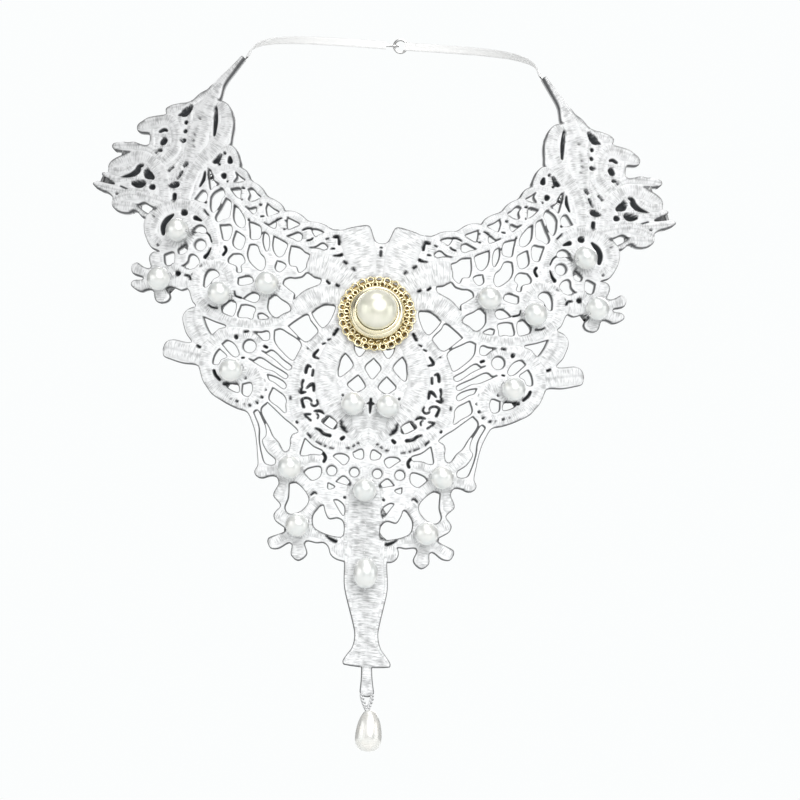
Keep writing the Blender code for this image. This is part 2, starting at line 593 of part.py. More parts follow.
def spread(points, gap):
    """Those of the points that lie at least gap mm from the ones kept before them."""
    kept = []
    taken = {}
    for x, z in points:
        cell = (int(x // gap), int(z // gap))
        near = [taken.get((cell[0] + i, cell[1] + j)) for i in (-1, 0, 1) for j in (-1, 0, 1)]
        if any(p and math.hypot(p[0] - x, p[1] - z) < gap for p in near):
            continue
        taken[cell] = (x, z)
        kept.append((x, z))
    return kept


def within(points, loops):
    """Which points lie inside the outer loops and outside the holes."""
    crossings = np.zeros(len(points), int)
    x, z = points[:, 0], points[:, 1]
    for loop in loops:
        for (ax, az), (bx, bz) in zip(loop, np.roll(loop, -1, axis=0)):
            if az == bz:
                continue
            crossed = (az > z) != (bz > z)
            crossings += crossed & (x < ax + (z - az) * (bx - ax) / (bz - az))
    return crossings % 2 == 1


# ---------------------------------------------------------------- making the objects


def material(name, colour, roughness, metallic=0.0):
    made = bpy.data.materials.new(name)
    made.use_nodes = True
    shader = made.node_tree.nodes["Principled BSDF"]
    shader.inputs["Base Color"].default_value = (*colour, 1.0)
    shader.inputs["Roughness"].default_value = roughness
    shader.inputs["Metallic"].default_value = metallic
    made.diffuse_color = (*colour, 1.0)
    return made


def add_object(name, mesh, finish, smooth=True):
    made = bpy.data.objects.new(name, mesh)
    mesh.materials.append(finish)
    if smooth:
        mesh.shade_smooth()
    COLLAR.objects.link(made)
    return made


def lace_object(name, sheet, middles, finish):
    """A piece of lace: its outline and a few points along its bands, meshed flat, draped and thickened."""
    loops = []
    for loop in sheet.loops():
        size = (loop.max(axis=0) - loop.min(axis=0)).max()
        area = loop_area(loop)
        if area > 0 or (area < -SMALLEST_GAP_AREA and size > SMALLEST_GAP):
            loops.append(thinned(loop, OUTLINE_TOLERANCE))
    outer = max(loops, key=loop_area)
    loops = [loop for loop in loops if loop is outer or loop_area(loop) < 0]
    points = [tuple(point) for loop in loops for point in loop]
    edges = []
    start = 0
    for loop in loops:
        count = len(loop)
        edges += [(start + k, start + (k + 1) % count) for k in range(count)]
        start += count
    inner = middles[sheet.inside(middles) > BAND_MARGIN]
    points += spread([tuple(p) for p in inner], MIDDLE_SPACING)
    result = delaunay_2d_cdt([Vector(p) for p in points], edges, [], 0, 1e-4)
    flat = np.array([tuple(v) for v in result[0]])
    faces = np.array(result[2])
    faces = faces[within(flat[faces].mean(axis=1), loops)]
    used, index = np.unique(faces, return_inverse=True)
    mesh = bpy.data.meshes.new(name)
    places = [on_lace(x, z)[0] for x, z in flat[used]]
    mesh.from_pydata(places, [], index.reshape(-1, 3).tolist())
    made = add_object(name, mesh, finish, smooth=False)
    padding = made.vertex_groups.new(name="padding")
    for k, deep in enumerate(sheet.inside(flat[used])):
        padding.add([k], float(np.clip(deep / FULL_DEPTH, 0, 1)), "REPLACE")
    wall = made.modifiers.new("thickness", "SOLIDIFY")
    wall.thickness = LACE_FULL * MM
    wall.offset = 1.0
    wall.vertex_group = padding.name
    wall.thickness_vertex_group = LACE_EDGE / LACE_FULL
    return made


def middle_points(bands):
    """Points along the middle of each band and of its mirror image."""
    lines = np.vstack([smooth_line(band.path, 1.6) for band in bands])
    return np.vstack([lines, lines * np.array([-1.0, 1.0])])


def pearl_places():
    """Where each sewn pearl stands on the layout, by its name: the tables say where its middle shows."""
    lift = LACE_FULL + SEAM + PEARL_RADIUS
    x, z = OVAL_PEARL
    places = {"pearl_centre": foot_of(*CENTRE_PEARL, lift)}
    places["pearl_oval"] = foot_of(x + float(sway(z)), z, LACE_FULL + SEAM + OVAL_RADIUS)
    for pearl in PEARLS:
        x, z = foot_of(pearl.x, pearl.z, lift)
        places[f"pearl_{pearl.name}_left"] = (x, z)
        places[f"pearl_{pearl.name}_right"] = (-x, z)
    return places


def lace_pieces(finish):
    """The front piece, and the two leaf sprays, which end a seam's width off it."""
    outlines, holes = front_outlines()
    front = Sheet(outlines, holes)
    padded = FLOWER + MIDDLE_SCROLL[:2] + UPPER_SCROLL[:2] + LOWER_SCROLL[:3] + SIDE_LOBES + MEDALLION[:2]
    padded += OUTER_STARS[:5] + LOWER_STARS[:12]
    tail_line = smooth_line(TAIL_SPINE, MIDDLE_SPACING)
    tail_points = swayed(np.vstack([tail_line, tail_line + TAIL_COLUMN, tail_line - TAIL_COLUMN]))
    middles = np.vstack([list(pearl_places().values()), middle_points(padded), tail_points])
    lace_object("lace_front", front, middles, finish)
    leaves = [band_outline(band) for band in WING]
    line = middle_points(WING)
    for side, turned in (("left", lambda o: o), ("right", mirrored)):
        spray = Sheet([turned(leaf) for leaf in leaves])
        for outline in outlines:
            spray.cut(outline, SEAM)
        lace_object(f"lace_spray_{side}", spray, line, finish)


def pearl_mesh(radius, stretch=1.0):
    mesh = bpy.data.meshes.new("pearl")
    ball = bmesh.new()
    bmesh.ops.create_uvsphere(ball, u_segments=12, v_segments=8, radius=radius * MM)
    bmesh.ops.scale(ball, vec=(1.0, stretch, 1.0), verts=ball.verts)
    ball.to_mesh(mesh)
    ball.free()
    mesh.shade_smooth()
    return mesh


def seat_on_lace(made, x, z, lift):
    """Stands an object on the lace with its own Z pointing out of the cloth and its Y up along it."""
    place, outward = on_lace(x, z, lift)
    upward = Vector((0, 0, 1))
    sideways = upward.cross(outward).normalized()
    along = outward.cross(sideways)
    turn = Matrix((sideways, along, outward)).transposed().to_4x4()
    made.matrix_world = Matrix.Translation(place) @ turn
    return made


def sewn_pearls(finish):
    """The pearls, each standing a seam's width off the lace that carries it."""
    round_pearl = pearl_mesh(PEARL_RADIUS)
    oval_pearl = pearl_mesh(OVAL_RADIUS, OVAL_STRETCH)
    for mesh in (round_pearl, oval_pearl):
        mesh.materials.append(finish)
    for name, (x, z) in pearl_places().items():
        oval = name == "pearl_oval"
        mesh = oval_pearl if oval else round_pearl
        radius = OVAL_RADIUS if oval else PEARL_RADIUS
        made = bpy.data.objects.new(name, mesh)
        COLLAR.objects.link(made)
        seat_on_lace(made, x, z, LACE_FULL + SEAM + radius)


def turned_object(name, profile, finish, steps):
    """A turned shape: a profile of (radius, height) in mm, from the outer side's top down, about local Z."""
    mesh = bpy.data.meshes.new(name)
    points = [(radius * MM, 0.0, height * MM) for radius, height in profile]
    mesh.from_pydata(points, [(k, k + 1) for k in range(len(points) - 1)], [])
    made = add_object(name, mesh, finish, smooth=False)
    turn = made.modifiers.new("turn", "SCREW")
    turn.steps = steps
    turn.render_steps = steps
    turn.use_merge_vertices = True
    turn.merge_threshold = 0.00001
    turn.use_smooth_shade = True
    return made


def brooch_plate(gilt):
    """The pierced gilt plate: a ring of ring-shaped scrolls round a flat middle."""
    place = BROOCH_RADIUS - SCROLL_RADIUS
    outlines = [circle_outline(0, 0, place - SCROLL_RADIUS + PLATE_OVERLAP, 48)]
    holes = [circle_outline(0, 0, PLATE_OPENING, 40)]
    for angle in np.linspace(0, 2 * math.pi, SCROLL_COUNT, endpoint=False):
        x, z = place * math.sin(angle), place * math.cos(angle)
        outlines.append(circle_outline(x, z, SCROLL_RADIUS + SCROLL_JOIN, 20))
        holes.append(circle_outline(x, z, SCROLL_RADIUS - SCROLL_WIRE, 16))
    curve = bpy.data.curves.new("brooch_filigree", "CURVE")
    curve.dimensions = "2D"
    curve.fill_mode = "BOTH"
    curve.extrude = PLATE_THICKNESS / 2 * MM
    for loop in Sheet(outlines, holes).loops():
        if abs(loop_area(loop)) < SMALLEST_PIERCING:
            continue
        loop = thinned(loop, PLATE_TOLERANCE)
        line = curve.splines.new("POLY")
        line.points.add(len(loop) - 1)
        line.points.foreach_set("co", np.pad(loop * MM, ((0, 0), (0, 2))).ravel())
        line.use_cyclic_u = True
    plate = bpy.data.objects.new("brooch_filigree", curve)
    plate.data.materials.append(gilt)
    COLLAR.objects.link(plate)
    return plate


def brooch(gilt, pearl_finish):
    """The plate on the lace, a turned bezel on the plate, and the large pearl set in the bezel."""
    lift = LACE_FULL + SEAM
    x, z = foot_of(0.0, 0.0, BROOCH_LIFT)
    seat_on_lace(brooch_plate(gilt), x, z, lift + PLATE_THICKNESS / 2)
    lift += PLATE_THICKNESS + SEAM
    wall = BROOCH_PEARL_RADIUS + SEAM
    ledge = wall - BEZEL_LEDGE
    profile = (
        (BEZEL_RADIUS - BEZEL_BEVEL[0], BEZEL_HEIGHT),
        (BEZEL_RADIUS, BEZEL_HEIGHT - BEZEL_BEVEL[1]),
        (BEZEL_RADIUS, 0.0),
        (ledge, 0.0),
        (ledge, BEZEL_FLOOR),
        (wall, BEZEL_FLOOR),
        (wall, BEZEL_HEIGHT),
        (BEZEL_RADIUS - BEZEL_BEVEL[0], BEZEL_HEIGHT),
    )
    seat_on_lace(turned_object("brooch_bezel", profile, gilt, 36), x, z, lift)
    half_height = BROOCH_PEARL_RADIUS * BROOCH_PEARL_DOME
    dome = [(0.0, half_height)]
    for angle in np.linspace(math.pi / 2, math.asin(BROOCH_PEARL_BASE / half_height), 11)[1:]:
        dome.append((BROOCH_PEARL_RADIUS * math.cos(angle), half_height * math.sin(angle)))
    dome.append((0.0, BROOCH_PEARL_BASE))
    pearl = turned_object("brooch_pearl", dome, pearl_finish, 28)
    seat_on_lace(pearl, x, z, lift + BEZEL_FLOOR + SEAM - BROOCH_PEARL_BASE)


def drop(pearl_finish):
    """The pear-shaped pearl that hangs from the loops at the end of the tab."""
    last = len(DROP_SWELL) - 1
    heights = [DROP_LENGTH * (0.5 + 0.5 * math.cos(math.pi * k / last)) for k in range(last + 1)]
    profile = [(DROP_RADIUS * swell, height) for swell, height in zip(DROP_SWELL, heights)]
    made = turned_object("drop_pearl", profile, pearl_finish, 16)
    x, z = DROP_PLACE
    top, _ = on_lace(x, z + DROP_LENGTH / 2, DROP_LIFT)
    made.location = top - Vector((0, 0, DROP_LENGTH * MM))


def wire(name, path, finish, closed=False):
    """A round metal wire along points in the world, in metres."""
    curve = bpy.data.curves.new(name, "CURVE")
    curve.dimensions = "3D"
    curve.bevel_depth = WIRE_RADIUS * MM
    curve.bevel_resolution = 1
    curve.use_fill_caps = not closed
    line = curve.splines.new("POLY")
    line.points.add(len(path) - 1)
    for point, place in zip(line.points, path):
        point.co = (*place, 1.0)
    line.use_cyclic_u = closed
    made = bpy.data.objects.new(name, curve)
    made.data.materials.append(finish)
    COLLAR.objects.link(made)


def ribbon(side, sign, finish):
    """A flat ribbon from the tip of a spray round to the back of the neck, lying outward."""
    x, z = SPRAY_TIP[0] + 0.7 * SEAM, SPRAY_TIP[1] + SEAM
    path = smooth_line(((x, float(depth(x, z)), z),) + RIBBON_PATH, 4.0)
    count = len(path)
    ahead = np.gradient(path, axis=0)
    corners = []
    for k, (x, y, z) in enumerate(path):
        t = k / (count - 1)
        tangent = Vector(ahead[k]).normalized()
        outward = Vector((x, y, 0)).normalized() + Vector((0, 0, RIBBON_ROLL)) * (1 - t) ** 2
        outward = (outward - tangent * outward.dot(tangent)).normalized()
        width = RIBBON_WIDTH[0] + (RIBBON_WIDTH[1] - RIBBON_WIDTH[0]) * min(1, 3 * t)
        across = tangent.cross(outward) * width / 2
        middle = Vector((x, y, z - NECK_HEIGHT))
        for corner in (middle - across, middle + across):
            corners.append((sign * corner.x * MM, corner.y * MM, corner.z * MM))
    faces = [(2 * k, 2 * k + 2, 2 * k + 3, 2 * k + 1)[::sign] for k in range(count - 1)]
    mesh = bpy.data.meshes.new(f"neck_ribbon_{side}")
    mesh.from_pydata(corners, [], faces)
    made = add_object(f"neck_ribbon_{side}", mesh, finish)
    wall = made.modifiers.new("thickness", "SOLIDIFY")
    wall.thickness = RIBBON_THICKNESS * MM
    wall.offset = 0.0
    return made


def hook_and_eye(finish):
    """The wire hook on the left ribbon, through the wire eye on the right ribbon."""
    _, back, height = RIBBON_PATH[-1]
    height -= NECK_HEIGHT
    y = back + RIBBON_THICKNESS / 2 + SEAM + WIRE_RADIUS
    eye_x = EYE_RADIUS - EYE_OVERLAP
    eye = []
    for angle in np.linspace(0, 2 * math.pi, 16, endpoint=False):
        place = (eye_x + EYE_RADIUS * math.cos(angle), y, height + EYE_RADIUS * math.sin(angle))
        eye.append(Vector(place) * MM)
    wire("clasp_eye", eye, finish, closed=True)
    bend = 2 * WIRE_RADIUS + SEAM
    rim = eye_x - EYE_RADIUS
    hook = [(rim - HOOK_REACH, y), (rim - HOOK_REACH + HOOK_RISE, y + bend), (rim - bend, y + bend)]
    for angle in np.linspace(0, math.pi, 7):
        hook.append((rim + bend * math.sin(angle), y + bend * math.cos(angle)))
    hook.append((rim - HOOK_TIP, y - bend))
    wire("clasp_hook", [Vector((place[0], place[1], height)) * MM for place in hook], finish)


for old in list(bpy.data.objects):
    bpy.data.objects.remove(old, do_unlink=True)
bpy.context.scene.unit_settings.system = "METRIC"
COLLAR = bpy.data.collections.new("lace_collar")
bpy.context.scene.collection.children.link(COLLAR)

LACE = material("white lace", (0.9, 0.9, 0.88), 0.8)
PEARL = material("pearl", (0.92, 0.91, 0.88), 0.2)
GILT = material("gilt metal", (0.83, 0.64, 0.3), 0.3, 1.0)
RIBBON = material("white ribbon", (0.92, 0.92, 0.9), 0.6)
STEEL = material("nickel wire", (0.75, 0.75, 0.74), 0.3, 1.0)

lace_pieces(LACE)
sewn_pearls(PEARL)
brooch(GILT, PEARL)
drop(PEARL)
ribbon("left", 1, RIBBON)
ribbon("right", -1, RIBBON)
hook_and_eye(STEEL)
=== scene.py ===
# %% [markdown]
# # A lace collar with pearls and a gilt brooch
#
# The collar is guipure: heavy white lace with no net behind it. Bands, petals and leaves are worked in
# satin stitch over padding threads, corded bars join them, and the ground they were stitched on is
# dissolved. Round pearls are sewn on, a brooch covers the roots of the petals, and a pearl drop hangs from
# the tail. The solids of the collar come in as a frame. Everything below is built round them in the same
# place and size.

import math
from collections import namedtuple

import bpy
import numpy as np
from mathutils import Matrix, Vector
from mathutils.geometry import delaunay_2d_cdt


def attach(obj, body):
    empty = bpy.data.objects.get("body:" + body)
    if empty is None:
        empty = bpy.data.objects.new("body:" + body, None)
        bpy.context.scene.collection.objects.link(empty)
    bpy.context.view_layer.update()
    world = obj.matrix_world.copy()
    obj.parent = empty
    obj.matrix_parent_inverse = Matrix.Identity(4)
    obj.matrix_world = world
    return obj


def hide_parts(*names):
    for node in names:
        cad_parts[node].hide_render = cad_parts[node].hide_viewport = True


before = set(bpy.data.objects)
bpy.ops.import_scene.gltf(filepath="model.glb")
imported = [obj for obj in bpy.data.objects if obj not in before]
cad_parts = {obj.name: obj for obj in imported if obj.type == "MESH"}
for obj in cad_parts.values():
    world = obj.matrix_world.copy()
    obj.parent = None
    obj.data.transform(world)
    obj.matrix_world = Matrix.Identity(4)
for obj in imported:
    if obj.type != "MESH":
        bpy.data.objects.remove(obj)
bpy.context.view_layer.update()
print("solids in the frame:", len(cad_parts))

# %% [markdown]
# ## The camera
#
# The collar is looked at straight on, from far away with a long lens, so that the leaves at the sides of
# the neck aren't made smaller by their distance. It was worn a little aslant, so the camera is rolled by
# that angle and the collar itself stays upright.

# %% Camera
MM = 0.001
PICTURE_WIDTH = 0.272  # how much of the collar's plane fills the picture, in metres
CAMERA_DISTANCE = 10.0
CAMERA_ROLL = math.radians(3.9)
LOOKED_AT = Vector((0.0099, -0.086, -0.0897))

camera_data = bpy.data.cameras.new("camera")
camera_data.sensor_width = 36.0
camera_data.lens = camera_data.sensor_width * CAMERA_DISTANCE / PICTURE_WIDTH
camera_data.clip_end = 60.0
camera = bpy.data.objects.new("camera", camera_data)
bpy.context.scene.collection.objects.link(camera)
right = Vector((math.cos(CAMERA_ROLL), 0.0, math.sin(CAMERA_ROLL)))
up = Vector((-math.sin(CAMERA_ROLL), 0.0, math.cos(CAMERA_ROLL)))
back = right.cross(up)
turn = Matrix((right, up, back)).transposed().to_4x4()
camera.matrix_world = Matrix.Translation(LOOKED_AT + back * CAMERA_DISTANCE) @ turn
bpy.context.scene.camera = camera
print("lens, mm:", round(camera_data.lens))

# %% [markdown]
# ## Light and floor
#
# White thread on a white ground shows by its outlines and a little by its shading. A lamp high in front, a
# little to the right, models the stitches, and a wide bright window round it gives each pearl its broad
# highlight. A weaker lamp from the left keeps the other side open. Two wide lamps at the sides, one above
# and one behind keep the lace white from every side, nearly as white as the paper behind it. The sky is
# dimmer at the sides, as between two dark screens, which draws the pearls' rims.

# %% Lamps, world and floor
Lamp = namedtuple("Lamp", "name place size watts")
LAMPS = (
    Lamp("key", (0.4, -1.6, 0.75), 0.5, 5.4),
    Lamp("fill", (-1.2, -1.3, 0.1), 1.0, 2.0),
    Lamp("left side", (-1.7, -0.6, 0.1), 1.2, 5.0),
    Lamp("right side", (1.7, -0.6, 0.1), 1.2, 5.0),
    Lamp("top", (-0.1, -0.3, 1.3), 0.9, 4.0),
    Lamp("behind", (0.3, 1.3, 0.6), 1.0, 12.0),
)
FLOOR_HEIGHT = -0.30
FLOOR_RADIUS = 1.1
LIT_PLACE = Vector((0.0, -0.06, -0.08))  # what the lamps are turned to
WINDOW_DIRECTION = (0.2, -0.79, 0.58)


def add_lamp(lamp):
    data = bpy.data.lights.new(lamp.name, "AREA")
    data.energy = lamp.watts
    data.size = lamp.size
    made = bpy.data.objects.new(lamp.name, data)
    made.location = lamp.place
    aim = LIT_PLACE - Vector(lamp.place)
    made.rotation_euler = aim.to_track_quat("-Z", "Y").to_euler()
    made.visible_camera = False
    bpy.context.scene.collection.objects.link(made)


for lamp in LAMPS:
    add_lamp(lamp)


def set_inputs(tree, node, **inputs):
    """Gives each input, by name or by number, a value or what comes out of another node."""
    for name, value in inputs.items():
        socket = node.inputs[int(name[1:]) if name.startswith("_") else name.replace("_", " ")]
        if isinstance(value, bpy.types.NodeSocket):
            tree.links.new(value, socket)
        else:
            socket.default_value = value


def add_node(tree, kind, settings=None, **inputs):
    """A shader node, with settings on itself and values or links on its inputs."""
    node = tree.nodes.new(kind)
    for name, value in (settings or {}).items():
        setattr(node, name, value)
    set_inputs(tree, node, **inputs)
    return node


def new_material(name):
    material = bpy.data.materials.new(name)
    material.use_nodes = True
    return material, material.node_tree, material.node_tree.nodes["Principled BSDF"]


def mixed(tree, factor, first, second):
    """A colour between two, each a colour or another node's output."""
    first, second = ((*c, 1.0) if isinstance(c, tuple) else c for c in (first, second))
    return add_node(tree, "ShaderNodeMix", {"data_type": "RGBA"}, Factor=factor, _6=first, _7=second).outputs[2]


def ranged(tree, value, **limits):
    return add_node(tree, "ShaderNodeMapRange", Value=value, **limits).outputs["Result"]


world = bpy.data.worlds.new("studio")
bpy.context.scene.world = world
world.use_nodes = True
tree = world.node_tree
tree.nodes.clear()
place = add_node(tree, "ShaderNodeTexCoord").outputs["Generated"]
axes = add_node(tree, "ShaderNodeSeparateXYZ", _0=place)
side = add_node(tree, "ShaderNodeMath", {"operation": "ABSOLUTE"}, _0=axes.outputs["X"])
screen = ranged(tree, side.outputs[0], From_Min=0.35, From_Max=0.95, To_Min=0.36, To_Max=0.12)
toward = add_node(tree, "ShaderNodeVectorMath", {"operation": "DOT_PRODUCT"}, _0=place, _1=WINDOW_DIRECTION)
pane = ranged(tree, toward.outputs["Value"], From_Min=0.79, From_Max=0.9, To_Max=1.6)
both = add_node(tree, "ShaderNodeMath", {"operation": "ADD"}, _0=screen, _1=pane)
studio = add_node(tree, "ShaderNodeBackground", Color=both.outputs[0])
paper = add_node(tree, "ShaderNodeBackground", Color=(0.97, 0.985, 0.985, 1.0))
rays = add_node(tree, "ShaderNodeLightPath").outputs["Is Camera Ray"]
seen = add_node(tree, "ShaderNodeMixShader", _0=rays, _1=studio.outputs[0], _2=paper.outputs[0])
add_node(tree, "ShaderNodeOutputWorld", Surface=seen.outputs[0])

bpy.ops.mesh.primitive_circle_add(
    vertices=96, radius=FLOOR_RADIUS, fill_type="NGON", location=(0, 0, FLOOR_HEIGHT)
)
floor = bpy.context.object
floor.name = "floor"
plaster, tree, shader = new_material("pale floor")
trowel = add_node(tree, "ShaderNodeTexNoise", Scale=9.0, Detail=4.0).outputs[0]
set_inputs(tree, shader, Base_Color=mixed(tree, trowel, (0.86, 0.87, 0.87), (0.9, 0.91, 0.91)), Roughness=0.8)
floor.data.materials.append(plaster)
bpy.context.scene.view_settings.view_transform = "Standard"
print("lamps:", ", ".join(lamp.name for lamp in LAMPS))

# %% [markdown]
# ## The lie of the cloth
#
# The lace is drawn flat, in millimetres, x to the right and z up from the middle of the brooch. Each place
# on that drawing has its own depth on the wearer: it slopes down the chest, curves back towards the arms
# and then goes over the shoulders and up the sides of the neck. The same rule shaped the solids, so
# stitches that are laid by it lie where the solids are. The tail hangs a little to one side.

# %% Drape
NECK_HEIGHT = 60.0
FRONT_DEPTH = 72.0
NOTCH_HEIGHT = 26.0
CHEST_SLOPE = 0.36
CHEST_ROUNDING = 0.0008
SIDE_CURVE = 280.0
SHOULDER_START = 45.0
SHOULDER_TURN = (0.62, 0.78)
SHOULDER_ROUNDING = 0.02
TAIL_TOP = -60.0
TAIL_SWAY = 0.078


def depth(x, z):
    """How far behind the neck's middle the back of the lace lies at a place of the drawing."""
    below = NOTCH_HEIGHT - z
    over = np.maximum(0.0, SHOULDER_TURN[0] * np.abs(x) + SHOULDER_TURN[1] * z - SHOULDER_START)
    chest = -FRONT_DEPTH - CHEST_SLOPE * below + CHEST_ROUNDING * below * below
    return chest + x * x / SIDE_CURVE + SHOULDER_ROUNDING * over * over


def on_cloth(x, z, lift):
    """Places of the drawing in the world, in metres, and the way out of the cloth there."""
    reach = 0.05
    slope_x = (depth(x + reach, z) - depth(x - reach, z)) / (2 * reach)
    slope_z = (depth(x, z + reach) - depth(x, z - reach)) / (2 * reach)
    outward = np.stack([slope_x, -np.ones_like(slope_x), slope_z], axis=-1)
    outward /= np.linalg.norm(outward, axis=-1, keepdims=True)
    place = np.stack([x, depth(x, z), z - NECK_HEIGHT], axis=-1) + outward * np.asarray(lift)[..., None]
    return place * MM, outward


def foot_of(x, z, lift):
    """Where on the drawing a thing stands that is in front of (x, z) when it is lift mm off the cloth."""
    foot_x, foot_z = x, z
    for _ in range(6):
        place, _ = on_cloth(np.array([foot_x]), np.array([foot_z]), np.array([lift]))
        foot_x += x - place[0, 0] / MM
        foot_z += z - NECK_HEIGHT - place[0, 2] / MM
    return foot_x, foot_z


def sway(z):
    return TAIL_SWAY * np.maximum(0.0, TAIL_TOP - z)


throat, _ = on_cloth(np.array([0.0]), np.array([NOTCH_HEIGHT]), np.array([0.0]))
print("throat notch, m:", throat[0].round(4))

# %% [markdown]
# ## Smooth lines
#
# A stitcher draws each band as one easy curve. A few points are enough for that: the line between them is a
# Catmull-Rom curve, which passes through every point and doesn't overshoot where they lie unevenly.

# %% Lines through a few points
Band = namedtuple("Band", "widths path cap lifts", defaults=(1.0, (0.0,)))


def smooth_line(path, step):
    """Points about step mm apart on a smooth line through the path's own points."""
    points = np.array(path, float)
    ends = np.vstack([2 * points[0] - points[1], points, 2 * points[-1] - points[-2]])
    knots = np.concatenate([[0.0], np.cumsum(np.linalg.norm(np.diff(ends, axis=0), axis=1) ** 0.5)])
    line = []
    for k in range(1, len(ends) - 2):
        a, b, c, d = ends[k - 1 : k + 3]
        ta, tb, tc, td = knots[k - 1 : k + 3]
        count = max(2, int(np.linalg.norm(c - b) / step))
        t = np.linspace(tb, tc, count, endpoint=False)[:, None]
        ab = ((tb - t) * a + (t - ta) * b) / (tb - ta)
        bc = ((tc - t) * b + (t - tb) * c) / (tc - tb)
        cd = ((td - t) * c + (t - tc) * d) / (td - tc)
        abc = ((tc - t) * ab + (t - ta) * bc) / (tc - ta)
        bcd = ((td - t) * bc + (t - tb) * cd) / (td - tb)
        line.append(((tc - t) * abc + (t - tb) * bcd) / (tc - tb))
    return np.vstack(line + [ends[-2:-1]])


def distance_along(line):
    return np.concatenate([[0.0], np.cumsum(np.linalg.norm(np.diff(line, axis=0), axis=1))])


def spread_along(values, run):
    """A few evenly spaced values, such as widths, smoothed over every point of a line."""
    places = np.linspace(0, run[-1], max(2, len(values)))
    if len(values) == 1:
        return np.full(run.shape, float(values[0]))
    curve = smooth_line(tuple(zip(places, values)), 0.8)
    return np.interp(run, curve[:, 0], curve[:, 1])


def evenly(path, spacing, cap):
    """The line through a path at an even spacing, with a few points more in its rounded ends."""
    fine = smooth_line(path, 0.25)
    fine_run = distance_along(fine)
    total = fine_run[-1]
    run = np.linspace(0, total, max(4, math.ceil(total / spacing) + 1))
    rounding = cap * (1 - np.cos(np.linspace(0, math.pi / 2, 5)))
    run = np.unique(np.concatenate([run, rounding, total - rounding]).round(4))
    run = run[(run >= 0) & (run <= total)]
    line = np.stack([np.interp(run, fine_run, fine[:, k]) for k in range(2)], axis=1)
    return line, run


print("a test line has", len(smooth_line(((0, 0), (5, 2), (9, 0)), 0.5)), "points")

# %% [markdown]
# ## Satin stitch
#
# In satin stitch the thread goes from rim to rim over padding cords, so a band is a rounded ridge with a
# steep rim, shallow grooves between the cords, and ribs across it where bundles of thread lie side by side.
# Each band is swept along its line as rings of points, with all of that in the rings themselves, because
# these ribs are large enough to catch the light. Every point keeps its place along and across the thread,
# for the finer threads in the material, how open to the light it lies, for the shade painted into the colour
# at the rims and in the grooves, and how near it is to the middle, where the long stitches part.

# %% A stitched band
Stitch = namedtuple("Stitch", "height cords groove pitch rib slant spacing across")
Strip = namedtuple("Strip", "points thread light round closed flipped rim middle", defaults=(None,))

PETAL = Stitch(height=2.0, cords=1, groove=0.0, pitch=1.1, rib=0.05, slant=0.0, spacing=0.275, across=15)
SCROLL = Stitch(height=1.85, cords=3, groove=0.12, pitch=0.0, rib=0.0, slant=0.0, spacing=0.45, across=15)
CORD = Stitch(height=1.6, cords=2, groove=0.12, pitch=0.0, rib=0.0, slant=0.0, spacing=0.42, across=9)
BACK_ACROSS = 4
LIFT_OFF = 0.1  # the back of a band above the back of the lace
RIM_SHARE = 0.5  # how high the steep rim of a band goes, as a share of its height
draws = np.random.default_rng(7)


def rounded(share, power=3.4):
    return np.sqrt(np.clip(1 - np.abs(share) ** power, 0, 1))


def ridge(phase):
    """1 on the crest and 0 in the groove of each rib, with narrow grooves."""
    return np.abs(np.sin(math.pi * phase)) ** 0.7


def wander(run, size):
    """A slow uneven drift along a line, as a hand or a machine leaves it."""
    knots = np.arange(0, run[-1] + 6, 3.0)
    return np.interp(run, knots, draws.uniform(-size, size, len(knots)))


def stitched(line, ahead, run, half, end, stitch, lift, closed=False):
    """The rings of a band: across its top from rim to rim, then back underneath."""
    a = np.sin(np.linspace(-math.pi / 2, math.pi / 2, stitch.across))[None, :]
    below = np.linspace(0.9, -0.9, BACK_ACROSS)[None, :]
    side = np.stack([-ahead[:, 1], ahead[:, 0]], axis=1)
    left, right = line + side * half[:, None], line - side * half[:, None]
    rim_line = right if closed else np.vstack([left, right[::-1]])
    half, end, lift = half[:, None], end[:, None], lift[:, None]
    drift = wander(run, 0.05)[:, None]
    lobe = ridge((a + 1) / 2 * stitch.cords + drift * (1 - a * a))
    ribs = np.ones_like(lobe)
    if stitch.pitch:
        slanted = run[:, None] + stitch.slant * np.abs(a) * half + wander(run, 0.12)[:, None]
        ribs = ridge(slanted / stitch.pitch)
        half = half + 0.04 * (ribs[:, :1] - 0.5) * end
    rim = RIM_SHARE * stitch.height
    top = rim + (stitch.height - rim) * rounded(a)
    top = top * (0.5 + 0.5 * end) - stitch.groove * (1 - lobe) * end
    top = top + stitch.rib * (ribs - 0.6) * (1 - a**6) * end + lift
    bottom = LIFT_OFF - 0.12 * rounded(below) * end + lift
    under = np.broadcast_to(below, (len(run), BACK_ACROSS))
    across = np.concatenate([np.broadcast_to(a, top.shape), under], axis=1)
    lifts = np.concatenate([top, bottom], axis=1)
    flat = line[:, None, :] + side[:, None, :] * (across * half)[..., None]
    points = np.concatenate([flat, lifts[..., None]], axis=2)
    # painted shade: darker in the grooves between the cords and between the ribs, and 0.85 on the back
    light = (1 - 0.3 * (1 - lobe) ** 1.5) * (1 - 4 * stitch.rib * (1 - ribs) ** 1.5 * (1 - a**4))
    light = np.concatenate([light, np.full(bottom.shape, 0.85)], axis=1)
    thread = np.stack([across * half, np.broadcast_to(run[:, None], across.shape)], axis=2)
    thread = thread + draws.uniform(0, 50, 2)
    if not closed:
        points[0], points[-1] = points[0].mean(axis=0), points[-1].mean(axis=0)
    middle = np.clip((0.86 - np.abs(across)) / 0.22, 0.1, 1)  # where the thread crosses the padding
    return Strip(points, thread, light, True, closed, False, rim_line, middle)


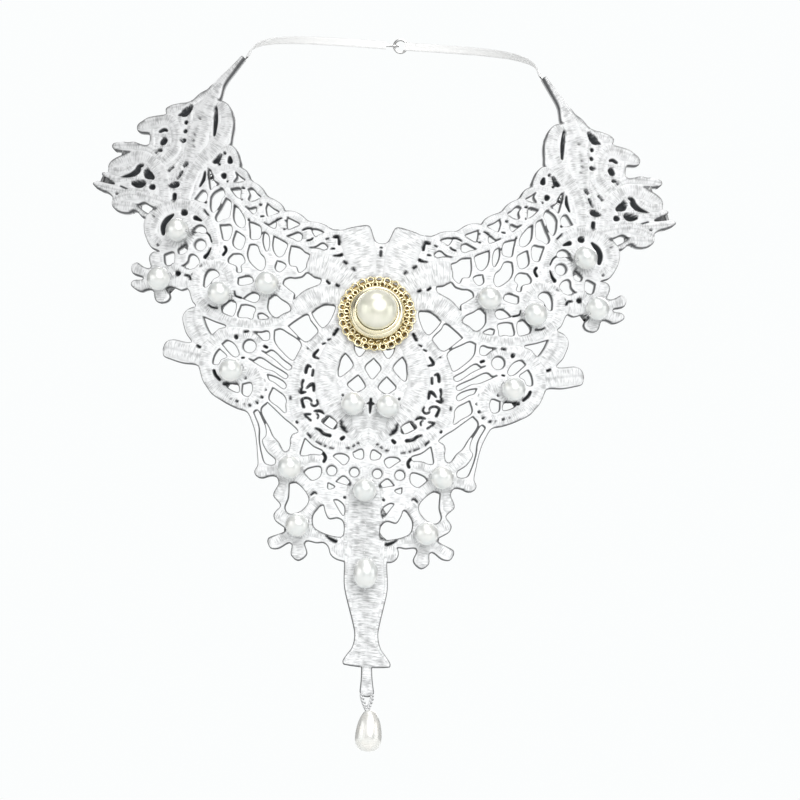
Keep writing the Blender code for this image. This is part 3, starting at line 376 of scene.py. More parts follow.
def band_strip(band, stitch):
    """One band of stitches along its path, tapered to rounded ends."""
    first, last = band.cap * band.widths[0] / 2, band.cap * band.widths[-1] / 2
    line, run = evenly(band.path, stitch.spacing, min(first, last))
    half = spread_along(band.widths, run) / 2
    into_first = np.clip((first - run) / first, 0, 1)
    into_last = np.clip((run - run[-1] + last) / last, 0, 1)
    end = np.sqrt(1 - into_first**2) * np.sqrt(1 - into_last**2)
    end = np.maximum(end, 0.02)
    ahead = np.gradient(line, run, axis=0)
    ahead /= np.linalg.norm(ahead, axis=1)[:, None]
    return stitched(line, ahead, run, half * end, end, stitch, spread_along(band.lifts, run))


def ring_strip(x, z, outer, inner, stitch, lift=0.0):
    """A band that closes into a ring."""
    radius = (outer + inner) / 2
    count = math.ceil(2 * math.pi * radius / stitch.spacing)
    angle = np.linspace(0, 2 * math.pi, count, endpoint=False)
    line = np.stack([x + radius * np.cos(angle), z + radius * np.sin(angle)], axis=1)
    ahead = np.stack([-np.sin(angle), np.cos(angle)], axis=1)
    run = angle * radius
    half = np.full(count, (outer - inner) / 2)
    return stitched(line, ahead, run, half, np.ones(count), stitch, np.full(count, lift), closed=True)


def disc_strip(x, z, radius, height, ribs):
    """A round padded patch with its stitches running out from the middle."""
    angle = np.linspace(0, 2 * math.pi, 3 * ribs, endpoint=False)[:, None]
    out = np.sin(np.linspace(0, math.pi / 2, 8))[None, :]
    under = np.linspace(0.93, 0.0, 3)[None, :]
    share = np.concatenate([out, under], axis=1)
    crest = ridge(angle / (2 * math.pi) * ribs)
    rim = RIM_SHARE * height
    top = rim + (height - rim) * rounded(out) + 0.08 * (crest - 0.6) * out * (1 - out**6)
    bottom = np.broadcast_to(LIFT_OFF - 0.12 * rounded(under), (len(angle), under.shape[1]))
    reach = radius + 0.1 * (crest - 0.5)
    flat = np.stack([x + reach * share * np.cos(angle), z + reach * share * np.sin(angle)], axis=2)
    points = np.concatenate([flat, np.concatenate([top, bottom], axis=1)[..., None]], axis=2)
    # painted shade in the grooves between the ribs, and 0.85 on the back
    light = 1 - 0.3 * (1 - crest) ** 1.5 * out + 0 * out
    light = np.concatenate([light, np.full(bottom.shape, 0.85)], axis=1)
    thread = [np.broadcast_to(value, light.shape) for value in (radius * share, angle * radius)]
    thread = np.stack(thread, axis=2)
    rim_line = np.stack([x + radius * np.cos(angle), z + radius * np.sin(angle)], axis=2)[:, 0]
    return Strip(points, thread, light, False, True, True, rim_line, np.full(light.shape, 0.7))


def mirrored(strip):
    points = strip.points * np.array([-1.0, 1.0, 1.0])
    return strip._replace(points=points, flipped=not strip.flipped, rim=strip.rim * np.array([-1.0, 1.0]))


def both_sides(strips):
    return strips + [mirrored(strip) for strip in strips]


test = band_strip(Band((4.0,), ((0, 0), (10, 0))), PETAL)
print("a 10 mm petal band has", test.points.shape[0], "rings of", test.points.shape[1], "points")

# %% [markdown]
# ## Where the cloth ends
#
# Where bands meet, the machine ties them with a few stitches more, so the lace is one joined cloth with one
# unbroken rim, and every hole in it has a rim of its own. To work with that, a fine grid over the drawing
# keeps, for every place, how deep it lies inside the cloth. Outlines are joined by taking the deeper value,
# and holes and slits are cut by taking the shallower one.

# %% Depth inside the cloth
GRID = 0.3
ACROSS = np.linspace(-105.0, 105.0, 701)
UPWARD = np.arange(-136.0, 89.0, GRID)
OUTSIDE = -3.0
FLAT_TOP = 0.3  # the field is at least this steep, squared, where a point is moved along it


def depth_inside(outline, x, z):
    """How deep each place lies inside a closed outline, negative outside it."""
    nearest = np.full(x.shape, np.inf)
    turns = np.zeros(x.shape, int)
    for (ax, az), (bx, bz) in zip(outline, np.roll(outline, -1, axis=0)):
        run_x, run_z = bx - ax, bz - az
        from_x, from_z = x - ax, z - az
        share = np.clip((from_x * run_x + from_z * run_z) / (run_x**2 + run_z**2 + 1e-12), 0, 1)
        nearest = np.minimum(nearest, (from_x - share * run_x) ** 2 + (from_z - share * run_z) ** 2)
        side = run_x * from_z - run_z * from_x
        turns += (az <= z) & (bz > z) & (side > 0)
        turns -= (az > z) & (bz <= z) & (side < 0)
    return np.where(turns != 0, 1, -1) * np.sqrt(nearest)


def window(outline):
    """The part of the grid round an outline, and the places in it."""
    low, high = outline.min(axis=0) - 2.0, outline.max(axis=0) + 2.0
    part = tuple(slice(*np.searchsorted(axis, (low[k], high[k]))) for k, axis in enumerate((ACROSS, UPWARD)))
    return part, *np.meshgrid(ACROSS[part[0]], UPWARD[part[1]], indexing="ij")


def joined_depth(outlines):
    """How deep each place of the grid lies inside the nearest of many closed outlines."""
    field = np.full((len(ACROSS), len(UPWARD)), OUTSIDE)
    for outline in outlines:
        part, x, z = window(outline)
        field[part] = np.maximum(field[part], depth_inside(outline, x, z))
    return field


def cut_from(field, outlines):
    for outline in outlines:
        part, x, z = window(outline)
        field[part] = np.minimum(field[part], -depth_inside(outline, x, z))
    return field


def sampled(field, x, z):
    """The field between the grid's places."""
    i = np.clip((x - ACROSS[0]) / GRID, 0, len(ACROSS) - 1.001)
    j = np.clip((z - UPWARD[0]) / GRID, 0, len(UPWARD) - 1.001)
    i0, j0 = i.astype(int), j.astype(int)
    i, j = i - i0, j - j0
    low = field[i0, j0] * (1 - i) + field[i0 + 1, j0] * i
    high = field[i0, j0 + 1] * (1 - i) + field[i0 + 1, j0 + 1] * i
    return low * (1 - j) + high * j


def drawn_in(field, x, z):
    """Places moved straight to the rim where they lie outside it."""
    reach = GRID / 2
    slope_x = (sampled(field, x + reach, z) - sampled(field, x - reach, z)) / GRID
    slope_z = (sampled(field, x, z + reach) - sampled(field, x, z - reach)) / GRID
    out = np.minimum(sampled(field, x, z), 0) / np.maximum(slope_x**2 + slope_z**2, FLAT_TOP)
    return x - out * slope_x, z - out * slope_z


print("grid for the rims:", len(ACROSS), "by", len(UPWARD))

# %% [markdown]
# ## From strips to a mesh
#
# All the strips of one piece go into one mesh. Their places on the drawing are laid on the cloth here, in
# one step, so that a band bends with the body under it. Shade is painted into the colour at the rim of the
# joined cloth, where the threads turn down, not at the rim of each band; where a slit is left open the colour
# is painted near black and the stitches sink.

# %% Mesh of many strips
STAND = 1.1  # how far off the cloth's back the stitches are that are seen


def laid(x, z, lift):
    """Places on the cloth, moved so that what stands on it is seen at x and z of the drawing from in front."""
    _, outward = on_cloth(x, z, np.zeros(x.shape))
    return on_cloth(x - STAND * outward[..., 0], z - STAND * outward[..., 2], lift)[0]


def strip_faces(strip, start):
    """Four-cornered faces between the rings of a strip."""
    rings, round_count = strip.points.shape[:2]
    number = start + np.arange(rings * round_count).reshape(rings, round_count)
    if strip.closed:
        number = np.vstack([number, number[:1]])
    if strip.round:
        number = np.hstack([number, number[:, :1]])
    a, b, c, d = number[:-1, :-1], number[1:, :-1], number[1:, 1:], number[:-1, 1:]
    order = (d, c, b, a) if strip.flipped else (a, b, c, d)
    return np.stack(order, axis=-1).reshape(-1, 4)


def mesh_from(name, places, faces, uv=None):
    mesh = bpy.data.meshes.new(name)
    mesh.vertices.add(len(places))
    mesh.vertices.foreach_set("co", np.asarray(places, np.float32).ravel())
    mesh.loops.add(faces.size)
    mesh.loops.foreach_set("vertex_index", faces.ravel().astype(np.int32))
    mesh.polygons.add(len(faces))
    mesh.polygons.foreach_set("loop_start", np.arange(0, faces.size, faces.shape[1], dtype=np.int32))
    if uv is not None:
        layer = mesh.uv_layers.new(name="thread")
        layer.data.foreach_set("uv", uv[faces.ravel()].astype(np.float32).ravel())
    mesh.update(calc_edges=True)
    mesh.validate()
    mesh.shade_smooth()
    return mesh


def keep_values(mesh, **values):
    """Values for the material, one for each point of a mesh."""
    for label, numbers in values.items():
        mesh.attributes.new(label, "FLOAT", "POINT").data.foreach_set("value", numbers.astype(np.float32))


def add_piece(name, mesh, material):
    """A piece of the collar, which stays with its one body and takes its material."""
    made = bpy.data.objects.new(name, mesh)
    bpy.context.scene.collection.objects.link(made)
    made.data.materials.clear()
    made.data.materials.append(material)
    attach(made, "root")
    return made


# The cloth's rim is painted dark as shade: fully for RIM_DARK mm, fading to none by RIM_SHADE mm. At the outer
# rim the painted shade still leaves RIM_LIGHT of the colour; in a slit it leaves none.
RIM_DARK = 0.17  # mm at the rim of the cloth where the thread has turned down out of the light
RIM_SHADE = 0.46  # mm from the rim where it lies open again
RIM_LIGHT = 0.08
SLIT_FLOOR = 0.25
CLOSE = 0.1  # two depths that differ by less are the same rim
STANDING = 0.3  # mm over which the stitches rise from the floor of a slit
TRIM = 0.05


def openness(x, z, rims, cloth):
    """Painted shade: 0 in a slit, a little more at the rim of the cloth, and 1 where it lies open to the light.
    """
    deep = sampled(rims, x, z)
    least = np.where(sampled(cloth, x, z) > deep + CLOSE, 0.0, RIM_LIGHT)
    return np.maximum(np.clip((deep - RIM_DARK) / (RIM_SHADE - RIM_DARK), 0, 1), least)


def stitched_piece(name, strips, material, rims, cloth, trimmed=True):
    """One object from strips of stitches, laid on the cloth and given painted shade by how deep they lie inside
    its rims.
    """
    faces, start = [], 0
    for strip in strips:
        faces.append(strip_faces(strip, start))
        start += strip.light.size
    flat = np.vstack([strip.points.reshape(-1, 3) for strip in strips])
    thread = np.vstack([strip.thread.reshape(-1, 2) for strip in strips])
    light = np.concatenate([strip.light.ravel() for strip in strips])
    middle = np.concatenate([strip.middle.ravel() for strip in strips])
    faces = np.vstack(faces)
    if trimmed:  # what lies wholly outside the cloth is cut away
        faces = faces[(sampled(cloth, flat[:, 0], flat[:, 1])[faces] > -TRIM).any(axis=1)]
    used, faces = np.unique(faces, return_inverse=True)
    flat, thread, light, middle = flat[used], thread[used], light[used], middle[used]
    faces = faces.reshape(-1, 4)
    x, z = drawn_in(cloth, flat[:, 0], flat[:, 1])
    deep = sampled(rims, x, z)
    # painted shade at the rims of the cloth and on the floor of each slit
    light = light * openness(x, z, rims, cloth)
    standing = np.clip((deep + CLOSE) / STANDING, 0, 1)
    lift = np.where(flat[:, 2] > SLIT_FLOOR, SLIT_FLOOR + (flat[:, 2] - SLIT_FLOOR) * standing, flat[:, 2])
    lift = np.where(sampled(cloth, x, z) < SLIT_FLOOR, flat[:, 2], lift)
    places = laid(x, z, lift)
    mesh = mesh_from(name, places, faces, thread)
    keep_values(mesh, light=light, middle=middle)
    made = add_piece(name, mesh, material)
    print(f"{name}: {len(strips)} strips, {2 * len(mesh.polygons)} triangles")
    return made


# %% [markdown]
# ## Thread
#
# Lace thread is mercerised cotton: white, a little glossy along the thread and matt where it turns down.
# One node group makes the threads for everything that is sewn or woven. It takes the place along and across
# the stitches and gives a height for the bump, a shade for each thread, and the short gaps where bundles of
# thread part over the padding. Lace and ribbon use it with threads of their own thickness.

# %% The thread group


def new_group(name, inputs, outputs):
    """An empty node group with named inputs and outputs: (name, socket kind, value or None)."""
    group = bpy.data.node_groups.new(name, "ShaderNodeTree")
    for label, kind, value in inputs:
        socket = group.interface.new_socket(name=label, in_out="INPUT", socket_type=kind)
        if value is not None:
            socket.default_value = value
    for label, kind in outputs:
        group.interface.new_socket(name=label, in_out="OUTPUT", socket_type=kind)
    return group, group.nodes.new("NodeGroupInput"), group.nodes.new("NodeGroupOutput")


def math_node(tree, operation, *values):
    """What comes out of a Math node on one or two values, each a number or another node's output."""
    inputs = {f"_{k}": value for k, value in enumerate(values)}
    return add_node(tree, "ShaderNodeMath", {"operation": operation}, **inputs).outputs[0]


FLOAT, VECTOR = "NodeSocketFloat", "NodeSocketVector"
thread_group, given, made = new_group(
    "thread",
    (("Place", VECTOR, None), ("Thread Width", FLOAT, 0.3), ("Unevenness", FLOAT, 0.15)),
    (("Height", FLOAT), ("Shade", FLOAT), ("Gap", FLOAT)),
)
tree, place = thread_group, given.outputs["Place"]
parts = add_node(tree, "ShaderNodeSeparateXYZ", _0=place)
drift = add_node(tree, "ShaderNodeTexNoise", Vector=place, Scale=0.55, Detail=2.0)
shift = math_node(tree, "MULTIPLY", math_node(tree, "SUBTRACT", drift.outputs[0], 0.5), 4.0)
shift = math_node(tree, "MULTIPLY", shift, given.outputs["Unevenness"])
along = math_node(tree, "ADD", parts.outputs["Y"], shift)
count = math_node(tree, "DIVIDE", along, given.outputs["Thread Width"])
wave = math_node(tree, "SINE", math_node(tree, "MULTIPLY", count, math.pi))
profile = math_node(tree, "POWER", math_node(tree, "ABSOLUTE", wave), 0.6)
number = math_node(tree, "FLOOR", count)
single = add_node(tree, "ShaderNodeTexWhiteNoise", {"noise_dimensions": "1D"}, W=number)
shade = math_node(tree, "MULTIPLY", single.outputs["Value"], 0.5)
shade = math_node(tree, "ADD", shade, math_node(tree, "MULTIPLY", profile, 0.5))
stretched = add_node(tree, "ShaderNodeVectorMath", {"operation": "MULTIPLY"}, _0=place, _1=(0.36, 3.0, 1.0))
stroke = add_node(tree, "ShaderNodeTexNoise", Vector=stretched.outputs[0], Scale=1.0, Detail=3.0, Roughness=0.6)
crowd = add_node(tree, "ShaderNodeTexNoise", Vector=place, Scale=0.35, Detail=1.0)
crowded = math_node(tree, "MULTIPLY", math_node(tree, "SUBTRACT", crowd.outputs[0], 0.5), 0.6)
gap = ranged(tree, math_node(tree, "ADD", stroke.outputs[0], crowded), From_Min=0.44, From_Max=0.66)
set_inputs(tree, made, Height=profile, Shade=shade, Gap=gap)
print("thread group sockets:", [item.name for item in thread_group.interface.items_tree])

# %% [markdown]
# ## Lace material
#
# The threads are near white where they lie open. At the rims, in the grooves, on the floor of a slit and in
# the gaps where the stitches part, shade is painted into the colour, down to near black, from the value kept
# on each point and the thread group's gaps. The net cords are the same thread with a rougher twist, and the
# tail's stitches lie further apart, so a function makes the material for each.

# %% Lace


def lace_material(name, white, shaded, thread_width, bump, gap_shade_depth, sheen=0.15):
    material, tree, shader = new_material(name)
    place = add_node(tree, "ShaderNodeUVMap", {"uv_map": "thread"}).outputs[0]
    thread = add_node(
        tree, "ShaderNodeGroup", {"node_tree": thread_group}, Place=place, Thread_Width=thread_width
    ).outputs
    light, middle = (add_node(tree, "ShaderNodeAttribute", {"attribute_name": kept}).outputs["Fac"]
                     for kept in ("light", "middle"))
    open_thread = mixed(tree, thread["Shade"], white, tuple(0.97 * c for c in white))
    gap = math_node(tree, "MULTIPLY", thread["Gap"], middle)
    gap_shade = ranged(tree, gap, To_Min=1.0, To_Max=1.0 - gap_shade_depth)
    # painted shade: from the near-black shaded colour up to the thread's white, by the kept light and the gaps
    tone = mixed(tree, math_node(tree, "MULTIPLY", light, gap_shade), shaded, open_thread)
    sunk = math_node(tree, "SUBTRACT", thread["Height"], thread["Gap"])
    raised = add_node(tree, "ShaderNodeBump", Strength=bump, Distance=0.0001, Height=sunk)
    set_inputs(tree, shader, Base_Color=tone, Normal=raised.outputs[0], Sheen_Weight=sheen, Sheen_Roughness=0.4,
               Roughness=ranged(tree, thread["Shade"], To_Min=0.75, To_Max=0.5))
    return material


THREAD_WHITE = (0.95, 0.96, 0.965)
# the near-black colour of the painted shade at the rims, in the grooves and on the floors of slits
THREAD_SHADE = (0.012, 0.015, 0.018)
satin_lace = lace_material("satin stitched lace", THREAD_WHITE, THREAD_SHADE, 0.3, 0.5, 0.42)
corded_lace = lace_material("corded lace", THREAD_WHITE, THREAD_SHADE, 0.42, 0.6, 0.25)
ladder_lace = lace_material("ladder stitched lace", THREAD_WHITE, THREAD_SHADE, 0.3, 0.5, 0.5)

# %% [markdown]
# ## The flower behind the brooch
#
# Six broad petals spread from under the brooch, three on each side, and all but touch. They are the most
# padded part of the lace, with fine ribs straight across, so they get the closest rings. What parts them is
# no more than a few short slits.

# %% Flower
FLOWER = (
    Band((8, 10.2, 12, 12, 12.4), ((-4.4, 10), (-5.9, 15), (-7.3, 20), (-8.7, 24), (-10.6, 28.2)), 0.3),
    Band((6, 8.6, 9.4, 8.2), ((-7, 7.5), (-13.5, 12.2), (-19.5, 14.2), (-25, 14.8)), 0.45),
    Band((7, 7.8, 8, 7.6, 6), ((-10, 4.5), (-16, 4.4), (-20.5, 3.4), (-24.5, 1), (-28.5, -1.8)), 0.6),
)
PETAL_FILLING = (
    Band((3,), ((-9, 12.5), (-12.5, 16), (-16, 18.5))),
    Band((2.4,), ((-10, 6.5), (-14, 8.2), (-18.5, 9.5))),
)
satin = both_sides([band_strip(band, PETAL) for band in FLOWER])
satin += both_sides([band_strip(band, PETAL._replace(height=1.5)) for band in PETAL_FILLING])
satin.append(band_strip(Band((4,), ((0, 9), (0, 22.5))), PETAL._replace(height=1.6)))
print("petals:", 2 * len(FLOWER))

# %% [markdown]
# ## The braid along the neck
#
# Flat cords rise from under each other along the neck edge, arch over a small padded seed, and run down to
# the border of the net on the other side. Each cord crosses over the next one's foot, as in a plait, and
# their arches make the scallops of the neck edge.

# %% Braid
BRAID_CORDS = (
    ((-12.5, 25.5), (-17.5, 24.9), (-21.5, 23.2), (-25.5, 21.2), (-29.5, 20.9)),
    ((-14, 25.6), (-19.6, 26.4), (-23, 27.6), (-26.4, 27.1), (-30, 25.5), (-34, 24.2), (-38, 24.6)),
    ((-24.5, 27.4), (-27.3, 28.9), (-30.2, 30.6), (-33.2, 30.8), (-38.2, 28.7), (-42, 27.8), (-45.5, 28.8)),
    ((-32.5, 30.7), (-34.3, 32), (-36.8, 33.9), (-39.8, 35.1), (-42.5, 34.4), (-45.6, 33.2), (-49, 33)),
    ((-39, 35.1), (-41.2, 36.9), (-43.6, 39.1), (-46.4, 40.2), (-50.3, 39.5), (-55, 39)),
    ((-45.1, 40.6), (-46.9, 42.4), (-48.9, 44.4), (-51.3, 45.5), (-54.4, 44.9), (-58.5, 44.8)),
    ((-50.2, 45.5), (-51.1, 48), (-52, 50.5), (-53.9, 51.8), (-56.5, 51), (-58.8, 48.5)),
)
BRAID_WIDTH = 2.5
BRAID_LIFTS = (0.0, 0.1, 0.1, 0.0, -0.1)  # over the next cord's foot, under the one before
BRAID_BORDER = Band((2.4,), ((-15, 19.2), (-19, 19.1), (-23.5, 19.3), (-28, 20.6), (-32, 21.9), (-36.5, 24),
                             (-40.5, 26), (-44.5, 28.6), (-48.5, 31.6), (-52, 35.4), (-56, 39.3),
                             (-60.5, 43.5)))
SEEDS = (
    Band((4.6, 4.2, 4.6), ((-17.4, 24.4), (-16.8, 20))),
    Band((2.8, 3.3, 2.8), ((-27, 26.2), (-25.6, 22.3))),
    Band((3, 3.4, 3), ((-34.8, 29.7), (-33.6, 25.4))),
    Band((2.8, 3.2, 2.8), ((-42.3, 33.6), (-41.5, 29.5))),
    Band((2.6, 2.8, 2.6), ((-48, 39), (-47.8, 34.7))),
    Band((2.6, 2.8, 2.4), ((-53.3, 44), (-52.8, 40.5))),
    Band((2, 2.2, 2.2), ((-56, 50.2), (-55.8, 46))),
)
SEED = Stitch(height=1.7, cords=1, groove=0.0, pitch=0.8, rib=0.06, slant=0.0, spacing=0.27, across=10)

plait = [Band((BRAID_WIDTH,), path, 1.0, BRAID_LIFTS) for path in BRAID_CORDS]
corded = [band_strip(band, CORD._replace(height=1.75, cords=3, across=13)) for band in plait + [BRAID_BORDER]]
satin += both_sides([band_strip(band, SEED) for band in SEEDS])
print("cords in the braid:", 2 * len(plait), "seeds:", 2 * len(SEEDS))

# %% [markdown]
# ## Scrolls
#
# Three scrolls curl round a pearl on each side. A scroll is one long band of three padding cords that
# widens towards its curl, so each is a single path.

# %% Scrolls
SCROLLS = (
    Band((5.5, 3.8, 3.6, 3.8, 4.6, 3), ((-24, 1.5), (-30, -2), (-35, -5.8), (-42, -7.4), (-50, -6.6),
                                        (-56.3, -3.7), (-60.5, 0), (-62.2, 5), (-60.5, 10), (-56, 12),
                                        (-51.5, 10.5), (-50, 6.5))),
    Band((4.2, 5.8, 4.2, 3.2, 3.2), ((-74.5, 17.3), (-77.7, 19.5), (-78.7, 23.5), (-77.2, 27.8), (-74.5, 30),
                                     (-70, 31.5), (-64.5, 31), (-59.7, 27.5), (-57, 22.5), (-56.3, 17),
                                     (-58.5, 12.3))),
    Band((3.4, 4.4, 4.8, 5, 4.4, 4.8, 6.6), ((-38, -13.2), (-43, -11), (-49, -10.8), (-54, -13.2), (-57, -18),
                                             (-57, -22.5), (-55, -28), (-50.5, -32.2), (-44.5, -34.8),
                                             (-40, -33.6), (-38.1, -29), (-39.4, -25), (-43.5, -22.8))),
)
satin += both_sides([band_strip(band, SCROLL) for band in SCROLLS])
print("scrolls:", 2 * len(SCROLLS))

# %% [markdown]
# ## Stars, lobes and pearl seats
#
# A pearl that isn't in a scroll sits in the middle of a small star of round-ended petals. Each petal has a
# raised cord all round and a padded middle, which three padding cords side by side give. Under every pearl
# lies a round patch with its stitches running outward.

# %% Stars
Pearl = namedtuple("Pearl", "name x z seat")
PEARLS = (
    Pearl("upper_scroll", -69.8, 23, 5.3),
    Pearl("outer_star", -75, 6, 5.0),
    Pearl("middle_scroll", -54, 2.5, 4.9),
    Pearl("net_star", -38, 7, 4.8),
    Pearl("lower_scroll", -48.3, -23.4, 5.2),
    Pearl("medallion", -6, -32, 5.0),
    Pearl("upper_lower_star", -26, -55, 5.0),
    Pearl("tail_star", -22, -74.4, 5.0),
)
OUTER_STARS = (
    Band((4, 4.6, 4.4), ((-76, 7), (-80, 8.2), (-84.8, 9.4))),
    Band((4, 4.4, 4), ((-76, 5), (-80, 3.6), (-84.5, 3.2))),
    Band((4.5, 4.6, 4.6), ((-75, 5), (-74.2, 1.5), (-73.8, -2.6))),
    Band((4.5, 5, 5.5), ((-74, 5), (-68.5, 5.6), (-62, 5.8))),
    Band((4.5, 4.6, 4.6), ((-75, 7), (-76.4, 10.5), (-77, 16))),
    Band((4.5, 3.6, 3), ((-74, 7), (-70, 10), (-64.5, 9.2))),
    Band((3, 2.6, 2.2), ((-38, 7), (-42.5, 8.3), (-46, 9))),
    Band((3, 2.6, 2.2), ((-38, 7), (-41.5, 4), (-43.5, 4.6))),
)
SIDE_LOBES = (
    Band((6.4, 7.2, 6.5), ((-61.8, -2.6), (-61.6, -8), (-57, -16))),
    Band((6.2, 6.8, 6.4), ((-72, -17.2), (-65, -18.2), (-57, -19.8))),
)
LOWER_STARS = (
    Band((4.6, 4.4, 4.6), ((-27, -55.5), (-32, -56.8), (-38, -57.6))),
    Band((4.6, 4.2, 4.4), ((-27, -54), (-30.5, -50), (-33.8, -46.2))),
    Band((4.6, 4.2, 4.6), ((-26, -53), (-25.3, -48), (-24, -43))),
    Band((4.4, 3.4, 3), ((-24.5, -53.5), (-19, -51.6), (-15, -51.5))),
    Band((5, 5, 4.6), ((-24.5, -57), (-20, -60.5), (-15.5, -66.5))),
    Band((4.6, 4.2, 4.6), ((-27, -57), (-28.6, -62), (-29, -67.6))),
    Band((4.6, 4.4, 4.4), ((-22.5, -74), (-26.5, -72), (-30.6, -70.4))),
    Band((4.6, 4.4, 4.6), ((-23, -75.5), (-27.5, -78.8), (-32, -81.2))),
    Band((4.6, 4.6, 5), ((-22, -76), (-21.3, -81), (-21.2, -86.5))),
    Band((4.6, 3.6, 3.6), ((-20.5, -75.5), (-14, -77), (-6, -79.6))),
    Band((5, 4.6, 4), ((-21, -73), (-18, -69.5), (-14.5, -64.5))),
)
STAR = Stitch(height=1.75, cords=1, groove=0.0, pitch=0.9, rib=0.025, slant=0.0, spacing=0.3, across=13)
SEAT_HEIGHT = 1.9
SEAT_RIBS = 26
PEARL_RADIUS = 4.0
LACE_FULL = 1.9
SEAM = 0.35
PEARL_LIFT = LACE_FULL + SEAM + PEARL_RADIUS


def seat_strip(pearl):
    """The patch under a pearl: its middle lies halfway between where the pearl shows and where it stands."""
    x, z = foot_of(pearl.x, pearl.z, PEARL_LIFT)
    return disc_strip((pearl.x + x) / 2, (pearl.z + z) / 2, pearl.seat, SEAT_HEIGHT, SEAT_RIBS)


stars = [band_strip(band, STAR) for band in OUTER_STARS + LOWER_STARS]
lobes = [band_strip(band, PETAL._replace(cords=2, groove=0.1, rib=0.03)) for band in SIDE_LOBES]
seats = [seat_strip(pearl) for pearl in PEARLS]
satin += both_sides(stars + lobes + seats)
print("star petals:", 2 * len(stars), "pearl seats:", 2 * len(seats))

# %% [markdown]
# ## The medallion
#
# Below the brooch two crescents stand face to face, with a lattice of crossed cords between their horns. A
# ribbed band runs round them both, and a low strip of threads ties it to the crescents. Short bent slits
# are left open in that strip.

# %% Medallion
RIM_PATH = ((-13, -6), (-18.5, -10), (-23.5, -16), (-26, -24), (-25.6, -33), (-22, -40), (-16, -45), (-9.5, -47),
            (-3.5, -45.4), (0, -41.5))
CRESCENTS = (
    Band((6.5, 7.8, 8.4, 3.6), ((-9, -7), (-13.6, -14.5), (-15.9, -22), (-15, -29), (-11.5, -35.2), (-6.5, -40),
                                (-1.5, -44.5))),
    Band((6.5, 8, 3.6), ((-4, -34), (-3.2, -38.5), (-0.8, -45))),
)
LATTICE = (
    Band((3.2,), ((4.5, -9.5), (0.5, -13.2), (-3.9, -17.7), (-7.8, -22.4), (-12, -26.8))),
    Band((3.2,), ((-10.5, -10), (-6.3, -17), (-3.9, -20.8), (-1.2, -24.8), (1.2, -28.6), (4, -32)), 1.0, (0.1,)),
    Band((3, 2.6, 2.4), ((-13, -28.5), (-7, -30), (-3, -27.5))),
)
RIM_BAND = Stitch(height=1.8, cords=3, groove=0.1, pitch=0.9, rib=0.04, slant=0.0, spacing=0.28, across=15)


def beside(path, offset, first=0.0, last=1.0):
    """Points of a path's line, moved off to its left, over a share of its length."""
    line = smooth_line(path, 0.5)
    run = distance_along(line)
    ahead = np.gradient(line, axis=0)
    ahead /= np.linalg.norm(ahead, axis=1)[:, None]
    line = line + offset * np.stack([-ahead[:, 1], ahead[:, 0]], axis=1)
    share = run / run[-1]
    at = np.linspace(first, last, max(3, int(run[-1] * (last - first) / 3.0)))
    return np.stack([np.interp(at, share, line[:, k]) for k in range(2)], axis=1)


rim_bands = [band_strip(Band((4.6, 5.2, 5, 3.6), RIM_PATH), RIM_BAND)]
rim_bands += [band_strip(band, PETAL) for band in CRESCENTS]
satin += both_sides(rim_bands)
corded += [band_strip(band, CORD._replace(cords=3, across=13)) for band in LATTICE]
between = Band((4, 5, 7, 8, 6), beside(RIM_PATH, 4.4, 0.1, 0.8))
corded.append(band_strip(between, CORD._replace(height=1.35, cords=6, across=21)))
print("bands of the medallion:", 2 * len(rim_bands))

# %% [markdown]
# ## Rings
#
# Four small corded rings sit in the gaps between the scrolls and the stars.

# %% Rings
Ring = namedtuple("Ring", "x z outer inner")
RINGS = (
    Ring(-61.6, 18.4, 3.7, 1.8),
    Ring(-42.4, -14.9, 3.8, 2.1),
    Ring(-3.9, -55.2, 3.6, 1.5),
    Ring(-11.6, -55.2, 3.8, 1.6),
)
corded += [ring_strip(*ring, CORD._replace(height=1.5)) for ring in RINGS]
corded = both_sides(corded)
print("rings:", 2 * len(RINGS))

# %% [markdown]
# ## The tail
#
# The tail is one tapering panel, ribbed like a fish's bones: each rib slants down from the rim to a fine
# cord in the middle. A cord edges it on both sides. It ends in a flared foot, a small tab and two thread
# loops.

# %% Tail
Station = namedtuple("Station", "z width")
TAIL_PANEL = (
    Station(-57, 10.5),
    Station(-60, 12.2),
    Station(-68, 13.8),
    Station(-77, 15),
    Station(-86, 14.6),
    Station(-94, 14.8),
    Station(-100, 12.3),
    Station(-105, 9.8),
    Station(-110, 8),
    Station(-113, 8.8),
    Station(-115, 10.2),
    Station(-117.2, 13.4),
    Station(-119.3, 16.4),
    Station(-121.2, 15.4),
)
TAIL_BANDS = (
    Band((6.5, 8, 6.5), ((-11.4, -81.7), (0, -81.4), (11.4, -81.7))),
    Band((3.6, 4, 5.4), ((0, -119), (0, -125), (0, -131)), 0.8),
)
FISHBONE = Stitch(height=1.85, cords=2, groove=0.15, pitch=1.15, rib=0.08, slant=-0.15, spacing=0.29, across=18)
CENTRE_SEAT = Pearl("centre", 0.0, -61.0, 5.0)
OVAL_SEAT = Pearl("oval", 0.0, -89.0, 5.4)


def swayed(strip):
    """A strip of the tail, moved to where the tail hangs."""
    points = strip.points.copy()
    points[..., 0] += sway(points[..., 1])
    rim_line = strip.rim.copy()
    rim_line[:, 0] += sway(rim_line[:, 1])
    return strip._replace(points=points, rim=rim_line)


